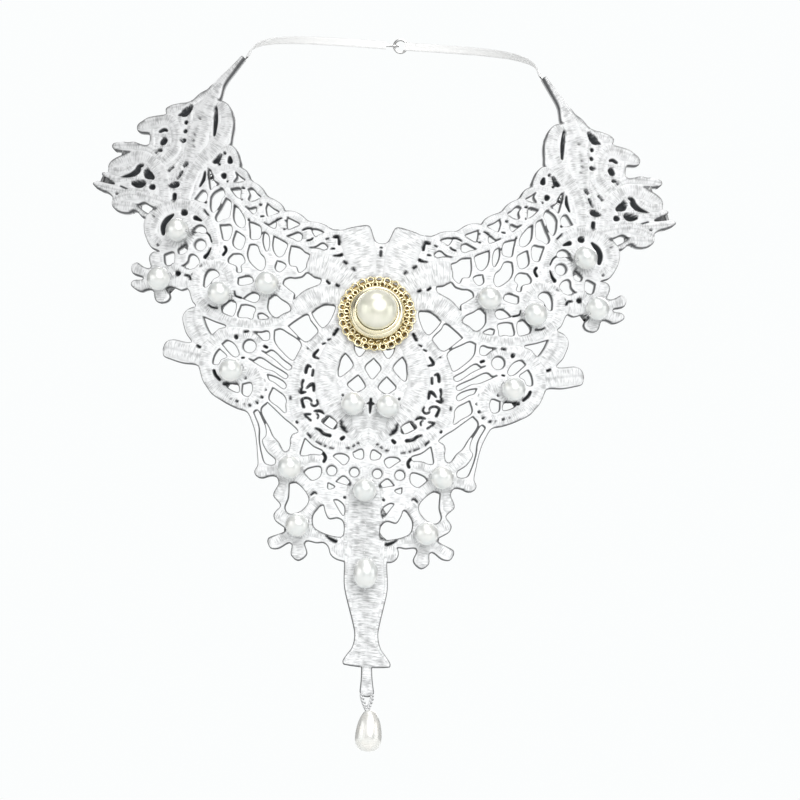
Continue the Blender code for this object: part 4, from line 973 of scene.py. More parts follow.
def panel_strip(stations, stitch):
    """An upright panel from its widths at a few heights, closed by short slopes at its ends."""
    side = smooth_line([(station.width / 2, station.z) for station in stations], 0.4)
    run = np.arange(0, side[0, 1] - side[-1, 1], stitch.spacing)
    half = np.interp(run, side[0, 1] - side[:, 1], side[:, 0])
    end = np.clip(np.minimum(run, run[-1] - run) / 0.6, 0.02, 1)
    line = np.stack([np.zeros(len(run)), side[0, 1] - run], axis=1)
    ahead = np.broadcast_to([0.0, -1.0], line.shape)
    return stitched(line, ahead, run, half * np.sqrt(end), end, stitch, np.zeros(len(run)))


def panel_edge(stations, inset, width):
    side = smooth_line([(station.width / 2 - inset, station.z) for station in stations], 0.8)
    return Band((width,), side[::3])


tail = [panel_strip(TAIL_PANEL, FISHBONE)]
tail += both_sides([band_strip(panel_edge(TAIL_PANEL, 0.7, 1.5), CORD._replace(height=1.9, cords=1))])
spine = Band((0.9,), ((0, -66), (0, -80), (0, -100), (0, -117)))
tail.append(band_strip(spine, CORD._replace(height=1.75, cords=1)))
tail += [band_strip(TAIL_BANDS[0], STAR), band_strip(TAIL_BANDS[1], PETAL._replace(height=1.7))]
tail += [disc_strip(seat.x, seat.z, seat.seat, SEAT_HEIGHT, SEAT_RIBS) for seat in (CENTRE_SEAT, OVAL_SEAT)]
tail = [swayed(strip) for strip in tail]
print("tail panel:", tail[0].points.shape[0], "rings")

# %% [markdown]
# ## The leaf sprays
#
# The sprays are bundles of long leaves that lie side by side and over each other, all running towards one
# tip. Their padding cords run the length of the leaf, with three or four in a broad one.

# %% Leaf sprays
SPRAY_TIP = (-51.6, 84.2)
LEAVES = (
    Band((4, 5.8, 3.6), ((-60, 68.2), (-56.2, 65), (-55.6, 59), (-58.5, 52.5), (-64, 46), (-67, 39),
                         (-67.6, 31.5))),
    Band((5, 8.6, 5), ((-67.5, 44), (-65.5, 54), (-63.2, 64), (-60.4, 71.5))),
    Band((5.2, 2.6, 1.2), ((-61.6, 69), (-58.6, 75), (-55.3, 79.3), SPRAY_TIP), 0.6),
    Band((2, 2.6, 1), ((-71.5, 63.5), (-66.6, 68.2), (-61.5, 72.6), (-57, 77.2))),
    Band((3, 3.4, 2.6), ((-77.8, 63.8), (-73, 65.2), (-67, 66.8))),
    Band((5, 5, 3.4), ((-87, 57.6), (-80.5, 60), (-75, 60.3), (-72.3, 56), (-73, 50), (-77, 45))),
    Band((3, 3.2, 3.2), ((-95, 50.3), (-88, 51), (-81.5, 50.4), (-76.5, 46.5))),
    Band((4.2, 5.4, 4), ((-95.6, 43), (-90, 46.3), (-83, 47), (-77.3, 43), (-75, 37), (-74.6, 31.5))),
    Band((3, 3.2, 2.6), ((-95.5, 42.3), (-90, 42), (-86.5, 44))),
    Band((2.4, 2.6, 2.4), ((-91, 39), (-86, 40.3), (-83, 43), (-80.5, 46))),
    Band((2.6, 2.6, 2.4), ((-98, 40.6), (-93, 39), (-87, 39.3), (-79, 38.8))),
    Band((2.4, 3, 2.6), ((-100.6, 36.8), (-95, 35.8), (-88, 35), (-80, 35.6))),
    Band((2.4, 4.2, 2.6), ((-93, 31.8), (-86.5, 34), (-79, 33.2), (-71, 30.5))),
    Band((3.6, 4, 2.6), ((-93, 30.3), (-88.5, 30), (-84.5, 29.6), (-80, 27))),
)
VEINS = (
    Band((2, 2.4, 2), ((-71.8, 63), (-71.6, 57), (-72, 51.5))),
    Band((2.4,), ((-68.6, 67), (-68.2, 58), (-68.4, 50), (-71, 43), (-73.5, 35))),
    Band((2.6, 2.4, 2.6), ((-81.2, 57.5), (-80.8, 53), (-80.5, 49.5))),
    Band((2,), ((-80.8, 55), (-74.5, 55.2))),
    Band((2.2, 2, 2), ((-80.5, 51), (-76, 51.2), (-72.5, 52))),
    Band((2,), ((-81.6, 36), (-81.8, 39))),
    Band((2,), ((-76.8, 41), (-72.5, 45), (-69, 50))),
    Band((1.8,), ((-75, 40), (-69.5, 40))),
    Band((1.8,), ((-74.5, 36.5), (-68.5, 36.8))),
    Band((2.4,), ((-70.5, 38), (-68, 44), (-66, 50))),
)
LEAF = Stitch(height=1.75, cords=3, groove=0.16, pitch=0.0, rib=0.0, slant=0.0, spacing=0.42, across=14)


def leaf_strip(band):
    """A leaf with a padding cord for about every 2 mm of its width."""
    cords = min(3, max(2, round(max(band.widths) / 2)))
    return band_strip(band, LEAF._replace(cords=cords, across=4 * cords + 3))


spray = [leaf_strip(band) for band in LEAVES] + [band_strip(band, CORD) for band in VEINS]
print("leaves:", len(LEAVES), "veins:", len(VEINS))

# %% [markdown]
# ## Slits
#
# Short slits stay open between the petals, round the seeds of the braid, between the leaves, and in the
# strip that ties the medallion together. Each is drawn as one more small band. It isn't cut right through:
# the ground keeps a floor there, its colour painted near black as the shade of a narrow slit, and the
# stitches over it sink down to that.

# %% Slits
NARROWEST_SLIT = 0.1
SLIT_STITCH = CORD._replace(spacing=0.3)
SLITS = (  # widths in mm, then x and z in turn
    ((0.8, 1, 0.8), -16.4, 24, -14.7, 24.1, -14.3, 21.5), ((0.4,), -18.9, 23.1, -18, 23.4),
    ((0.6,), -16.9, 20, -15.8, 20.1), ((0.4, 0.7, 1.2), -16, 17.7, -14, 17.9, -13, 18.4),
    ((0.8,), -12.4, 16, -11.2, 15.2), ((0.7,), -9.4, 13.9, -8.2, 13), ((0.7,), -17.7, 9, -16.6, 8),
    ((0.8,), -14.5, 7.9, -13.3, 7.3), ((0.6,), -25.4, 22.2, -24, 22.6, -23.4, 23.2),
    ((0.3,), -36.2, 28.4, -34.6, 29.2), ((0.4,), -33.5, 25.5, -32.9, 25.6),
    ((0.5,), -42.2, 33.3, -41.6, 33.4), ((0.4,), -41.7, 29.4, -40.6, 29.6),
    ((0.6,), -48.5, 38.7, -47.8, 38.5), ((0.9,), -55.6, 50.3, -55.2, 50),
    ((0.9,), -12.7, -6.9, -14.2, -9.4), ((0.5,), -16, -11.1, -15, -10.7),
    ((0.5,), -17.7, -12.6, -16.7, -12.1), ((0.6, 0.9, 0.4), -18.9, -14.5, -20.4, -16.8, -18.6, -17.6),
    ((1, 0.9), -21.9, -19.9, -22.5, -21.2, -22.7, -22.9), ((0.5,), -21.9, -20, -21, -20.6),
    ((0.7,), -20.2, -21.4, -20.4, -23.7), ((0.9, 0.6, 0.4), -23.3, -25.1, -23.7, -26.5, -23.5, -28),
    ((0.8, 1, 0.4), -23.8, -28.2, -24, -29.5, -22.2, -29.2),
    ((0.5, 1, 1, 0.6), -22.1, -28, -20.6, -26.5, -19.9, -26.4, -19.5, -28.8),
    ((0.6, 0.7, 0.9), -20, -32.3, -20.6, -31.5, -22, -31.2, -23.3, -31.8, -23, -33.3, -22.4, -34.6),
    ((0.6,), -18.3, -31.7, -17.8, -32.6, -18.5, -33.6, -19.5, -33.7, -20.2, -33.1),
    ((0.6,), -20, -36.6, -22, -36.9, -19.7, -38.9),
    ((0.5, 0.9, 0.4), -18.9, -35.5, -17, -35.3, -15.6, -36.1),
    ((0.5,), -18.1, -36.3, -17.4, -36.9, -17.6, -38),
    ((0.6, 1, 1, 1.1), -18.1, -41.3, -16.6, -41.8, -15.2, -43, -12.7, -43.5),
    ((0.4, 1.3, 0.4), -9.7, -38.3, -8.8, -40.4, -7.2, -42), ((1.2, 0.9), -9.3, -44.5, -8.1, -43.5),
    ((0.8,), -24.7, -39.5, -24.2, -39.9), ((0.6,), -20.6, -43.2, -19.4, -44.6),
    ((0.35,), -17.5, -45.8, -15.6, -46.7), ((0.6,), -14.6, -47.1, -14.1, -47.1),
    ((0.4,), -12.8, -47.6, -11.5, -47.8), ((0.4,), -7.1, -47.3, -6.1, -47.3),
    ((0.5,), -5, -46.6, -4.4, -46.2), ((0.5,), -3.6, -45.4, -3, -45.4),
    ((0.5,), -27.3, -31.1, -27.2, -32.2), ((0.7,), -9.7, -29.3, -9.3, -29.7),
    ((0.45,), -22.7, -14.4, -22.3, -14.6),
)
LOWER_SLITS = (
    ((0.7,), -60.2, -16, -58.9, -16.6), ((0.7,), -44.6, -10.3, -43, -10),
    ((0.8,), -37.6, -14.5, -36.2, -15.1), ((0.9,), -54, -23.8, -53.2, -25.5, -51.5, -27.2),
    ((1, 0.9, 0.6, 0.5), -50.4, -28.3, -48, -28.2, -45.5, -28.2, -45.3, -30.4),
    ((0.5,), -44.8, -19.1, -43.9, -19), ((0.8,), -41.2, -35.1, -40.4, -35.1),
    ((0.9,), -15, -49.3, -14, -51, -14.6, -52.6), ((0.6,), -18, -64, -17, -63, -16.2, -63.4),
    ((0.4, 0.8, 1.2), -12, -77.5, -10.2, -78.6, -8.2, -79.2),
)
SPRAY_SLITS = (
    ((0.7, 1.3, 0.7), -59.6, 66, -59.4, 61, -59.5, 56),
    ((0.5, 2.4, 0.5), -67.8, 65.9, -70.1, 63.3, -72.4, 62.4), ((1.2,), -69.9, 56.6, -69.2, 57.5),
    ((1.3,), -70.6, 53.4, -69.3, 54.1), ((0.8, 1.1, 0.7), -78.6, 56.3, -76.8, 57.2, -75.9, 56.8),
    ((1.9,), -77.4, 51.9, -76.1, 54.2), ((0.9,), -79.1, 48.7, -78.6, 49.6, -77.2, 50),
    ((0.5, 1.7, 2.2, 0.9), -90.2, 39.9, -87, 40.8, -85, 42.3, -84.4, 43.9, -83, 44.3),
    ((0.7, 2.9, 1.2), -81.6, 43.3, -81.3, 41.4, -79.2, 40.1),
    ((0.8, 2.3, 1.6), -86.6, 37.9, -84, 37.7, -81.9, 38.4), ((1, 2.6), -80.4, 37, -78.6, 37.2),
    ((0.5, 2.1, 1.4), -73.8, 37.8, -72, 38.1, -70.4, 38.9), ((1.3,), -71.6, 35.4, -71.5, 32.5),
    ((1,), -69, 44.7, -67.9, 46), ((0.7,), -74.1, 42.8, -73.7, 43.6, -72.6, 44.4),
    ((0.8,), -70.9, 40.4, -69.4, 43.2), ((0.5, 1, 0.4), -61.8, 43.5, -62, 41, -63.2, 38.2),
    ((0.8, 2, 0.8), -60.5, 44.4, -59.5, 41.5, -59.2, 38.5), ((0.5,), -91.8, 34, -91.1, 34),
    ((0.3,), -90.5, 36.8, -88, 35.8), ((0.7, 1.6, 1.2), -56.5, 49.6, -57.7, 47.7, -59, 46.8),
    ((0.8, 2.2), -53.7, 49.2, -53.3, 46.9), ((2.6, 1), -55.4, 43.2, -54.9, 41.6),
    ((1.9,), -68.7, 28.8, -66.8, 29.1), ((1.8, 0.4), -64.4, 27.7, -61.7, 26.6),
    ((0.6, 1.8, 1.8, 1), -71.4, 28.2, -73.4, 26.3, -74.6, 23.8, -74.4, 21),
)
NET_SLITS = (
    ((0.4,), -27, 25.6, -25.5, 26.4, -24, 26.4), ((0.5,), -48.8, 3.4, -48.5, 2, -46.2, 1.2),
    ((0.8,), -53.3, 18.5, -52.6, 17.2, -53.6, 15.3), ((0.5,), -57.3, -2, -55.8, -2.7, -54.2, -2.8),
    ((0.7,), -66, 7.7, -64.6, 7.5, -63.9, 6.2), ((0.4,), -59.9, 22.9, -58.6, 21.7, -57.6, 19.5),
    ((0.4, 1.4), -57.8, 17.6, -58.7, 15.4, -59.9, 14), ((0.4,), -61, 30.4, -60, 29.2, -59.2, 28.4),
    ((1.8, 0.8), -47.1, -11.6, -47, -12.8),
)
DOTS = (
    (-69.5, 60.1, 1.4), (-64.9, 61.5, 0.5), (-66.1, 57.7, 0.4), (-66.3, 55.9, 0.6), (-66.3, 53.9, 0.6),
    (-66.2, 51.7, 0.4), (-43, -25.9, 0.8), (-42.5, -20.9, 0.4), (-35.8, -29.4, 0.6), (-36.9, -32, 0.9),
    (-38.4, -34, 0.9), (-42.7, -34.8, 0.5), (-45.2, -34, 0.9), (-47.3, -33.3, 0.4), (-36.2, -26.3, 0.4),
    (-6.6, -64, 0.9), (-41.9, 33.2, 0.7), (-57, 46.2, 0.8), (-53.8, 40.6, 0.6), (-48.4, 34.7, 0.5),
    (-35.7, 28.7, 0.7), (-34.6, 29.1, 0.5), (-33, 28.5, 0.5), (-45.6, 28, 0.7), (-63.6, 8.2, 0.5),
    (-60.7, 11.1, 0.6), (-60.7, 33, 0.8), (-68.4, 8.1, 1.8), (-57, 5.7, 0.6), (-78, 26.9, 0.6),
    (-75.9, 17.2, 0.7),
)
MIDDLE_SLITS = (
    ((0.8,), 0, 20.4, 0, 18.5), ((0.5,), -0.3, 21.5, 0.3, 21.5),
    ((0.7, 0.9, 0.3), 0, -29.9, 0, -31.6, 0, -34.8), ((0.3, 0.6), -1.1, -31.7, 0, -31.3, 1.1, -31.7),
)


def slit_outlines(rows):
    """The slits' outlines, narrower by the rims of painted shade that the cloth has on both sides of them."""
    outlines = []
    for widths, *numbers in rows:
        narrower = [max(NARROWEST_SLIT, width - 2 * RIM_DARK) for width in widths]
        outlines.append(band_strip(Band(narrower, np.reshape(numbers, (-1, 2))), SLIT_STITCH).rim)
    return outlines


left_slits = slit_outlines(SLITS + LOWER_SLITS + SPRAY_SLITS + NET_SLITS)
tail_dots = [disc_strip(sway(z) + x, z, 0.06, 1.0, 4).rim
             for x in (-4.9, 4.9) for z in np.arange(-92.5, -83.5, 1.05)]
left_slits += [disc_strip(x, z, max(0.05, width / 2 - RIM_DARK), 1.0, 4).rim for x, z, width in DOTS]
slits = left_slits + [outline * np.array([-1.0, 1.0]) for outline in left_slits] + slit_outlines(MIDDLE_SLITS)
slits += tail_dots
print("slits:", len(slits))

# %% [markdown]
# ## Outline and holes
#
# The net between the braid and the scrolls, the bars and the small gaps in the stars are what is left
# between the holes. So they are drawn by their holes: closed lines that pass through a few points, given as
# x and z in turn. The collar's outline is drawn in the same way, once for a spray and once for the front,
# and all of it is mirrored.

# %% Outline of a spray and of the front
SPRAY_OUTLINE = (
    -52.4, 82.9, -54.9, 79, -57.1, 77.3, -59.6, 74.8, -63, 71.8, -65.4, 70.3, -67.7, 67.9, -69.9, 66.8,
    -72.4, 66.5, -75.4, 65.4, -76.9, 64.1, -76.7, 62.7, -80.1, 61.8, -82.7, 60.9, -84.8, 59.4, -86.5, 57.9,
    -86.5, 56.6, -85.2, 55.9, -82, 55.5, -82.1, 51.3, -85.2, 51.7, -86.9, 52.4, -89.5, 52, -91.2, 52.4,
    -93.8, 51.5, -94.6, 50.5, -94, 49.4, -91.2, 49, -88, 48.7, -89.9, 47.7, -92.5, 46.4, -94.4, 44.9,
    -95.3, 43.2, -95.3, 41.7, -97, 40.9, -97, 40, -95.5, 39.2, -92.7, 37.5, -96.3, 38, -98.9, 38.4,
    -100, 37.4, -99.9, 36.6, -97.2, 35.1, -94.2, 34, -92.7, 32.2, -93.3, 31.5, -92.9, 29.8, -91.6, 28.6,
    -89.5, 27.8, -86.9, 27.8, -85, 28.7, -83.9, 28.3, -82.2, 26.6, -79, 27, -74, 30, -68, 31.5, -63, 32,
    -61, 36, -60.5, 44, -57, 50, -53.7, 53.4, -53.4, 56, -53, 59.8, -53.4, 62.8, -54.5, 65.8, -56.2, 67.7,
    -59, 68.5, -58.4, 69.2, -57.7, 72.6, -56.9, 75.6, -55.8, 77.8,
)
FRONT_OUTLINE = (
    3, 23.2, -1.4, 23.3, -2.4, 24.3, -3.3, 26.5, -4.4, 28.6, -9, 28, -13.5, 26.9, -16.8, 26.6, -19.2, 28,
    -21, 28.6, -23.2, 28.9, -25.3, 29.1, -26.5, 30, -28, 31.1, -30.3, 32, -32, 32.1, -33.3, 31.8, -33.8, 32.8,
    -34.7, 34, -36.5, 35.2, -39.5, 36.4, -40.3, 37.3, -41.5, 39, -43.5, 40.5, -45.7, 41.7, -46.3, 43,
    -47.5, 44.8, -49.6, 45.8, -49.6, 47, -50.2, 49, -51, 51, -52.2, 52.5, -53.5, 53.3, -58, 51, -61.8, 45,
    -62, 37, -64, 33, -74, 31.2, -80, 28.5, -81.6, 25.3, -81.6, 23.5, -81.2, 21.5, -80.3, 19.5, -79.5, 17.8,
    -78.2, 16.3, -75.5, 15.2, -77.2, 14.8, -78.6, 13.2, -78.5, 11.8, -77.7, 9.4, -79.5, 9.2, -81.3, 10.2,
    -83, 11.2, -84.5, 10.3, -84.8, 9, -84.2, 7.3, -83, 6.7, -80.4, 6, -80.4, 5.1, -82.5, 5, -84.2, 4.2,
    -84.2, 3, -82.5, 1.7, -80.5, 1.1, -79, 1.8, -77.5, 2.1, -76.3, 1.3, -75.8, -0.8, -75, -2, -73.5, -2.3,
    -71.5, -1.7, -70.5, -0.3, -70.8, 1, -72, 2.6, -70.2, 3.4, -68.3, 2.8, -66.8, 2.4, -65, 3.1, -64.2, 2,
    -63.6, 0.2, -62.9, -1.3, -61.8, -2.4, -64.8, -4.1, -65.8, -5.5, -66, -7.2, -65.4, -9.5, -64.4, -12,
    -62.4, -14.8, -64, -14.9, -68.8, -14.3, -70.5, -15, -71.8, -18, -71.6, -20.2, -69, -21.2, -65, -22.2,
    -59.6, -22.8, -58.5, -25, -57.5, -27.7, -55.8, -30, -54.2, -32, -51.5, -33.6, -49, -34.9, -45.5, -36.3,
    -41.8, -37.4, -40, -40.5, -38.8, -43.5, -38, -47, -37.4, -51, -37, -55.3, -37.9, -57, -37.4, -58.6,
    -35.2, -59.5, -32.8, -58.6, -30.5, -58.5, -29.2, -60.8, -30.5, -63.5, -30.9, -65, -28.3, -68, -28.5,
    -68.8,
    -30.3, -71.5, -29.8, -73.3, -25.8, -76.5, -31.6, -79.7, -31.6, -81.3, -30.6, -82.9, -28, -82.9,
    -24.3, -80.7, -23.4, -81.4, -23.6, -84.5, -21, -86.5, -18, -84, -19, -80.5, -18.5, -79.7, -15, -80.1,
    -12.8, -79.8, -11.2, -81, -10.2, -83.6, -8.6, -84.9, -5.5, -85.7, 3, -85.7, 3, -30,
)

# %% [markdown]
# ## The holes
#
# A hole is what the machine leaves between bars and bands, so each is one closed line too. They are listed
# from the braid down to the medallion and the small stars, and the four rings add their own round ones.

# %% Holes
BRAID_HOLES = (
    (-51.2, 43.9, -50, 42.8, -48, 41.3, -50, 40.5, -51.6, 40.6, -50.6, 42.4),
    (-60.8, 44.6, -59.4, 43, -58.6, 40.6, -56.5, 39.3, -58.5, 38.9, -59.3, 37.6, -59.9, 39.5, -60.3, 42),
    (-52.4, 38, -51, 38.3, -49.2, 38.4, -49.2, 35.3, -50.3, 35.8),
    (-46.6, 38.5, -45.2, 38.7, -43.5, 37, -42.2, 36, -43.5, 34.8, -44.8, 34.4, -46.2, 34.9, -45.7, 36.7),
    (-46.8, 32.3, -45.7, 31.8, -43.4, 32.4, -43.5, 31, -44.2, 30.2, -45, 30.9),
    (-39.6, 33.8, -37.8, 32.5, -35.6, 31.2, -37.5, 30.4, -39.2, 29.8, -39.8, 31.5, -40, 32.6),
    (-40.2, 27.3, -38.8, 26.8, -36.5, 28, -36.3, 26.8, -36.6, 25.8, -38, 26.2),
    (-32.5, 29.6, -30.5, 28.8, -28.3, 27.6, -30, 26.4, -31.9, 25.7, -32.4, 27.3),
    (-32.2, 23.2, -30, 24.2, -28.4, 24.8, -27.2, 24, -27.5, 22.3, -28.5, 21.9, -30, 22.7),
    (-24, 26.3, -22, 26.2, -20, 25.3, -21.6, 24.7, -22.3, 23.8, -23.3, 24.8),
    (-24.2, 19.8, -22, 20.5, -20.3, 21.7, -19.5, 21.7, -18.2, 20.2, -19.2, 19.4, -21, 19.9),
)
NET_HOLES = (
    (-64.5, 33.9, -61.9, 37.1, -60.5, 35.4, -61.3, 33.3),
    (-59.1, 34.8, -58.3, 36.3, -57, 37.4, -55.4, 38, -54.5, 36.4, -55.5, 34.5, -56.3, 32, -58.1, 29.9,
     -58.9, 31.3),
    (-53.9, 34.9, -55.4, 31.5, -57, 28, -56.2, 26.8, -54.6, 27.7, -52.7, 28.4, -52.3, 30, -52.3, 33.7),
    (-50.9, 32.6, -49.5, 31.7, -47.2, 28.3, -46.9, 27, -47.2, 25.6, -48, 25.3, -49.4, 26, -50.7, 28),
    (-55.3, 25.6, -53.5, 25.7, -51.9, 25.9, -51.2, 24.4, -52.2, 20.8, -53.8, 20.8, -54.4, 22.5),
    (-49.7, 23.9, -48.2, 23.1, -46.6, 21.8, -46.7, 20, -47.4, 18.1, -48.2, 17.8, -50, 18.8, -50.5, 20),
    (-45.4, 27.3, -43.8, 26.9, -41.7, 26, -41.3, 25, -41.5, 22.2, -42.5, 21.7, -44.4, 21.7, -44.9, 24.5),
    (-40.1, 24.2, -38.7, 23.2, -38.2, 19.3, -38.8, 17.8, -39.8, 19.5, -40.3, 21.8),
    (-36.7, 22.9, -34.5, 22, -32, 20.5, -32.5, 18.6, -33.2, 16.9, -34.6, 16.2, -36.2, 17.8, -36.8, 20),
    (-30.6, 20, -27.5, 19.5, -26, 18.3, -24.2, 17.4, -25, 15, -25.3, 12.9, -27.3, 11.4, -28.3, 13.3, -30.4,
     13.6, -31, 16),
    (-35, 14.6, -33.3, 14.3, -32, 13.3, -34, 11.1, -35.5, 12.2),
    (-44.7, 19.5, -43.5, 19.7, -42.3, 19.4, -41, 16.8, -39.5, 15.3, -39.2, 12.5, -40.3, 11.1, -44.3, 14,
     -45.2, 16.5),
    (-32.4, 7, -32.1, 8.3, -30.5, 9.2, -28.5, 9.2, -26, 9.9, -24.6, 11.3, -22, 9.9, -19.8, 9.4, -20.1, 8,
     -25.2, 5.2, -28.4, 2.1, -28.2, 3.9, -30, 5.2),
    (-36.9, 1.4, -34.9, 3, -33, 1.8, -30, 0, -29.3, -1.9, -31.5, -3.2, -34, -4.7, -36.9, -1.9),
    (-45.5, 1.1, -44, 2.5, -42.2, 3.3, -40.3, 2.4, -40.6, 1, -41.5, 0.2),
    (-47.7, 8, -44.4, 8.8, -43, 8.1, -42.8, 7, -44, 6.3, -47.6, 5.9),
    (-46.2, -1.2, -44.4, -1, -41.4, -2, -41.9, -4, -42.2, -5.6, -43.6, -5.2, -47, -5),
    (-52.6, -2.2, -49.5, 0.2, -48.1, -0.8, -48.9, -5, -51, -4.6, -52.4, -3.8),
    (-40.2, -3.8, -39, -3.5, -37.7, -4.1, -36.5, -5.1, -38.5, -5.5, -40, -5.2),
    (-50.2, 16, -47.4, 16, -46.1, 13.6, -47.4, 12.3, -47, 10.2, -48.3, 10, -48.7, 12, -51.5, 13.2, -51.6,
     14.3),
    (-59.4, 4.5, -59.2, 7.5, -58, 9.8, -56, 10.1, -54.5, 8.5, -56.5, 7, -57.4, 5.5, -58.8, 4.2),
    (-73.6, 14.2, -72, 15, -70.6, 15.3, -70.4, 11.4, -71.5, 10.6, -72.9, 11.1),
    (-67, 10.8, -65.4, 12.4, -65, 14.4, -64.2, 15, -62.5, 14.2, -61.6, 12.3, -63, 10.6, -65, 10),
    (-69, 16.2, -67.3, 17.5, -66, 18.6, -65.9, 17, -66.8, 15.3, -68.6, 15),
    (-64.8, 20.9, -64.4, 22.8, -63.5, 24.5, -61.8, 25.1, -60.3, 24.2, -59.9, 23, -61.2, 22.5, -62.8, 22.9),
    (-84.2, 30.5, -82, 31.6, -79.5, 30.5, -77, 29.5, -79, 28.9, -80, 27.9),
)
SCROLL_HOLES = (
    (-21.9, -2.2, -20, -0.4, -18, 0.7, -16.3, 0.9, -14.4, 0.6, -14.5, -1, -16.3, -5.3, -17.9, -6.9, -21,
     -3.8),
    (-29.6, -7.2, -27.5, -5.4, -23.4, -2.9, -22.5, -4.6, -19.6, -8.4, -20.8, -10.2, -23.1, -12.1),
    (-34.2, -9, -32.4, -8.4, -30, -9.5, -25.1, -12.9, -26.2, -17, -27.2, -18.6, -31, -16, -33.9, -12.5),
    (-41.3, -10, -38.5, -9.9, -37, -9.4, -36.2, -9.8, -36.1, -12.2, -37.8, -12.5, -39.2, -11.2),
    (-38, -16.2, -36.8, -16.8, -34.9, -15.8, -33.6, -16.4, -31, -18.6, -27.6, -21.1, -28.6, -22, -34, -18.4),
    (-42.2, -19.2, -40.7, -19.7, -38.8, -18.6, -34, -21, -28.8, -24.1, -29.3, -25, -34, -22.6, -36.2, -22.2),
    (-35.6, -24.2, -34, -24.5, -32, -25.2, -30, -26.3, -29.1, -27.5, -29.6, -28.5, -33.3, -26.4, -34.8,
     -25.8),
    (-33.5, -28.5, -31.7, -29.6, -29.8, -30.8, -28.8, -32.4, -28.9, -34, -28.7, -36.6, -31, -34.9, -34.5,
     -32.2),
    (-35, -33.7, -36.9, -36, -33.7, -42, -32.2, -44.8, -30.2, -46.8, -28.2, -49.7, -27, -49.6, -26.3, -48,
     -26.4, -45.3, -25.7, -43.8, -24.1, -42.8, -26, -40.8, -29, -38.7, -32, -36.2),
    (-39.4, -37.2, -38.4, -36.4, -36.5, -39.4, -35.2, -42, -34.9, -44.8, -36, -46.5, -34.2, -50.2, -31, -53,
     -31.3, -54.4, -34.2, -54.2, -35.7, -51, -36.8, -46.5, -37.2, -42),
    (-21.4, -45, -18.5, -47.4, -15.2, -48.9, -15.6, -49.9, -18.5, -50, -21.2, -50.8, -22.5, -50.5, -22.2,
     -48),
    (-58.6, -6.1, -55, -7.4, -51, -8.7, -53.5, -9.7, -55.2, -11.8, -57, -9.6),
    (-52.6, -16.6, -50, -19, -51.8, -20, -52.6, -21.6, -54.3, -21.7, -54.2, -19.5, -53.5, -17.8),
    (-51.7, -14.8, -50.3, -13.6, -49.6, -13.6, -47.5, -14.8, -45.9, -18, -46.8, -18.8, -48, -18.4),
    (-43.8, -28, -41.2, -27.4, -40.5, -29, -40.9, -31, -41.8, -31.9, -43.6, -31.2),
    (-49.5, -28.5, -45.5, -28.3, -45.1, -30.7, -48.5, -29.6),
)
LOWER_HOLES = (
    (-9.7, -15.2, -8, -17, -6.9, -18.9, -7.3, -20, -11.2, -23.1, -11.6, -21.5, -11.3, -19, -10.9, -17),
    (-4.9, -22.3, -3.5, -23.8, -2.3, -26, -3, -26.8, -5, -28, -6.8, -27, -8.2, -25.6, -6.8, -24),
    (0, -16.3, -2.6, -19.3, -1.5, -21.5, 0, -23.1, 1.5, -21.5, 2.6, -19.3),
    (-6.8, -12.2, -4.5, -13, -2.6, -12.4, -3.4, -14.2, -4.9, -15.8, -6.2, -14.4),
    (-14.1, -36.8, -12, -37.9, -11, -39, -11.3, -40.8, -12.2, -41, -14.5, -39.9, -16.1, -38.6),
    (-20.9, -56.4, -20, -55.3, -15.6, -54.3, -15.5, -57.3, -18, -58.8),
    (-11.3, -50.3, -10.6, -49.6, -7.5, -49.5, -6.1, -50.7, -7.6, -52.9, -9.5, -51.6),
    (-4.7, -48.6, -1.9, -47.3, -1.3, -48.8, -1.5, -50.4, -4.2, -50),
    (-15, -67.8, -13.8, -67.1, -13, -69.3, -11.5, -71.6, -8.5, -71.2, -6.7, -72.2, -6.7, -77.2, -16, -75,
     -16.9, -71),
    (-25.6, -60.6, -23.4, -60.2, -18.8, -65.3, -20.6, -69, -24.8, -70.8, -26.5, -69, -25.6, -65.5),
    (-9.8, -58.8, -7.4, -56.8, -4.8, -59.6),
    (-10.2, -65.2, -9.2, -65, -6.7, -66.9, -6.6, -70),
    (-12.5, -59.5, -10.3, -60.6, -12.3, -61.4),
)


def closed_line(numbers, step):
    """A smooth closed outline through points given as x and z in turn."""
    points = np.reshape(numbers, (-1, 2))
    return smooth_line(np.vstack([points, points[:1]]), step)[:-1]


left_holes = [closed_line(numbers, 0.5) for numbers in BRAID_HOLES + NET_HOLES + SCROLL_HOLES + LOWER_HOLES]
left_holes += [disc_strip(ring.x, ring.z, ring.inner, 1.0, 12).rim for ring in RINGS]
holes = left_holes + [outline * np.array([-1.0, 1.0]) for outline in left_holes]
print("holes:", len(holes))

# %% [markdown]
# ## The joined cloth
#
# The ground itself is a thin sheet under the stitches, with a raised cord along every rim, which makes the
# bars of the net. Its outline is followed round the grid, square by square, and the sheet is filled with
# triangles between that outline, two more a little inside it, where the painted shade begins and ends, and
# points of the grid. At a slit it sinks to a floor whose colour is painted near black as shade.

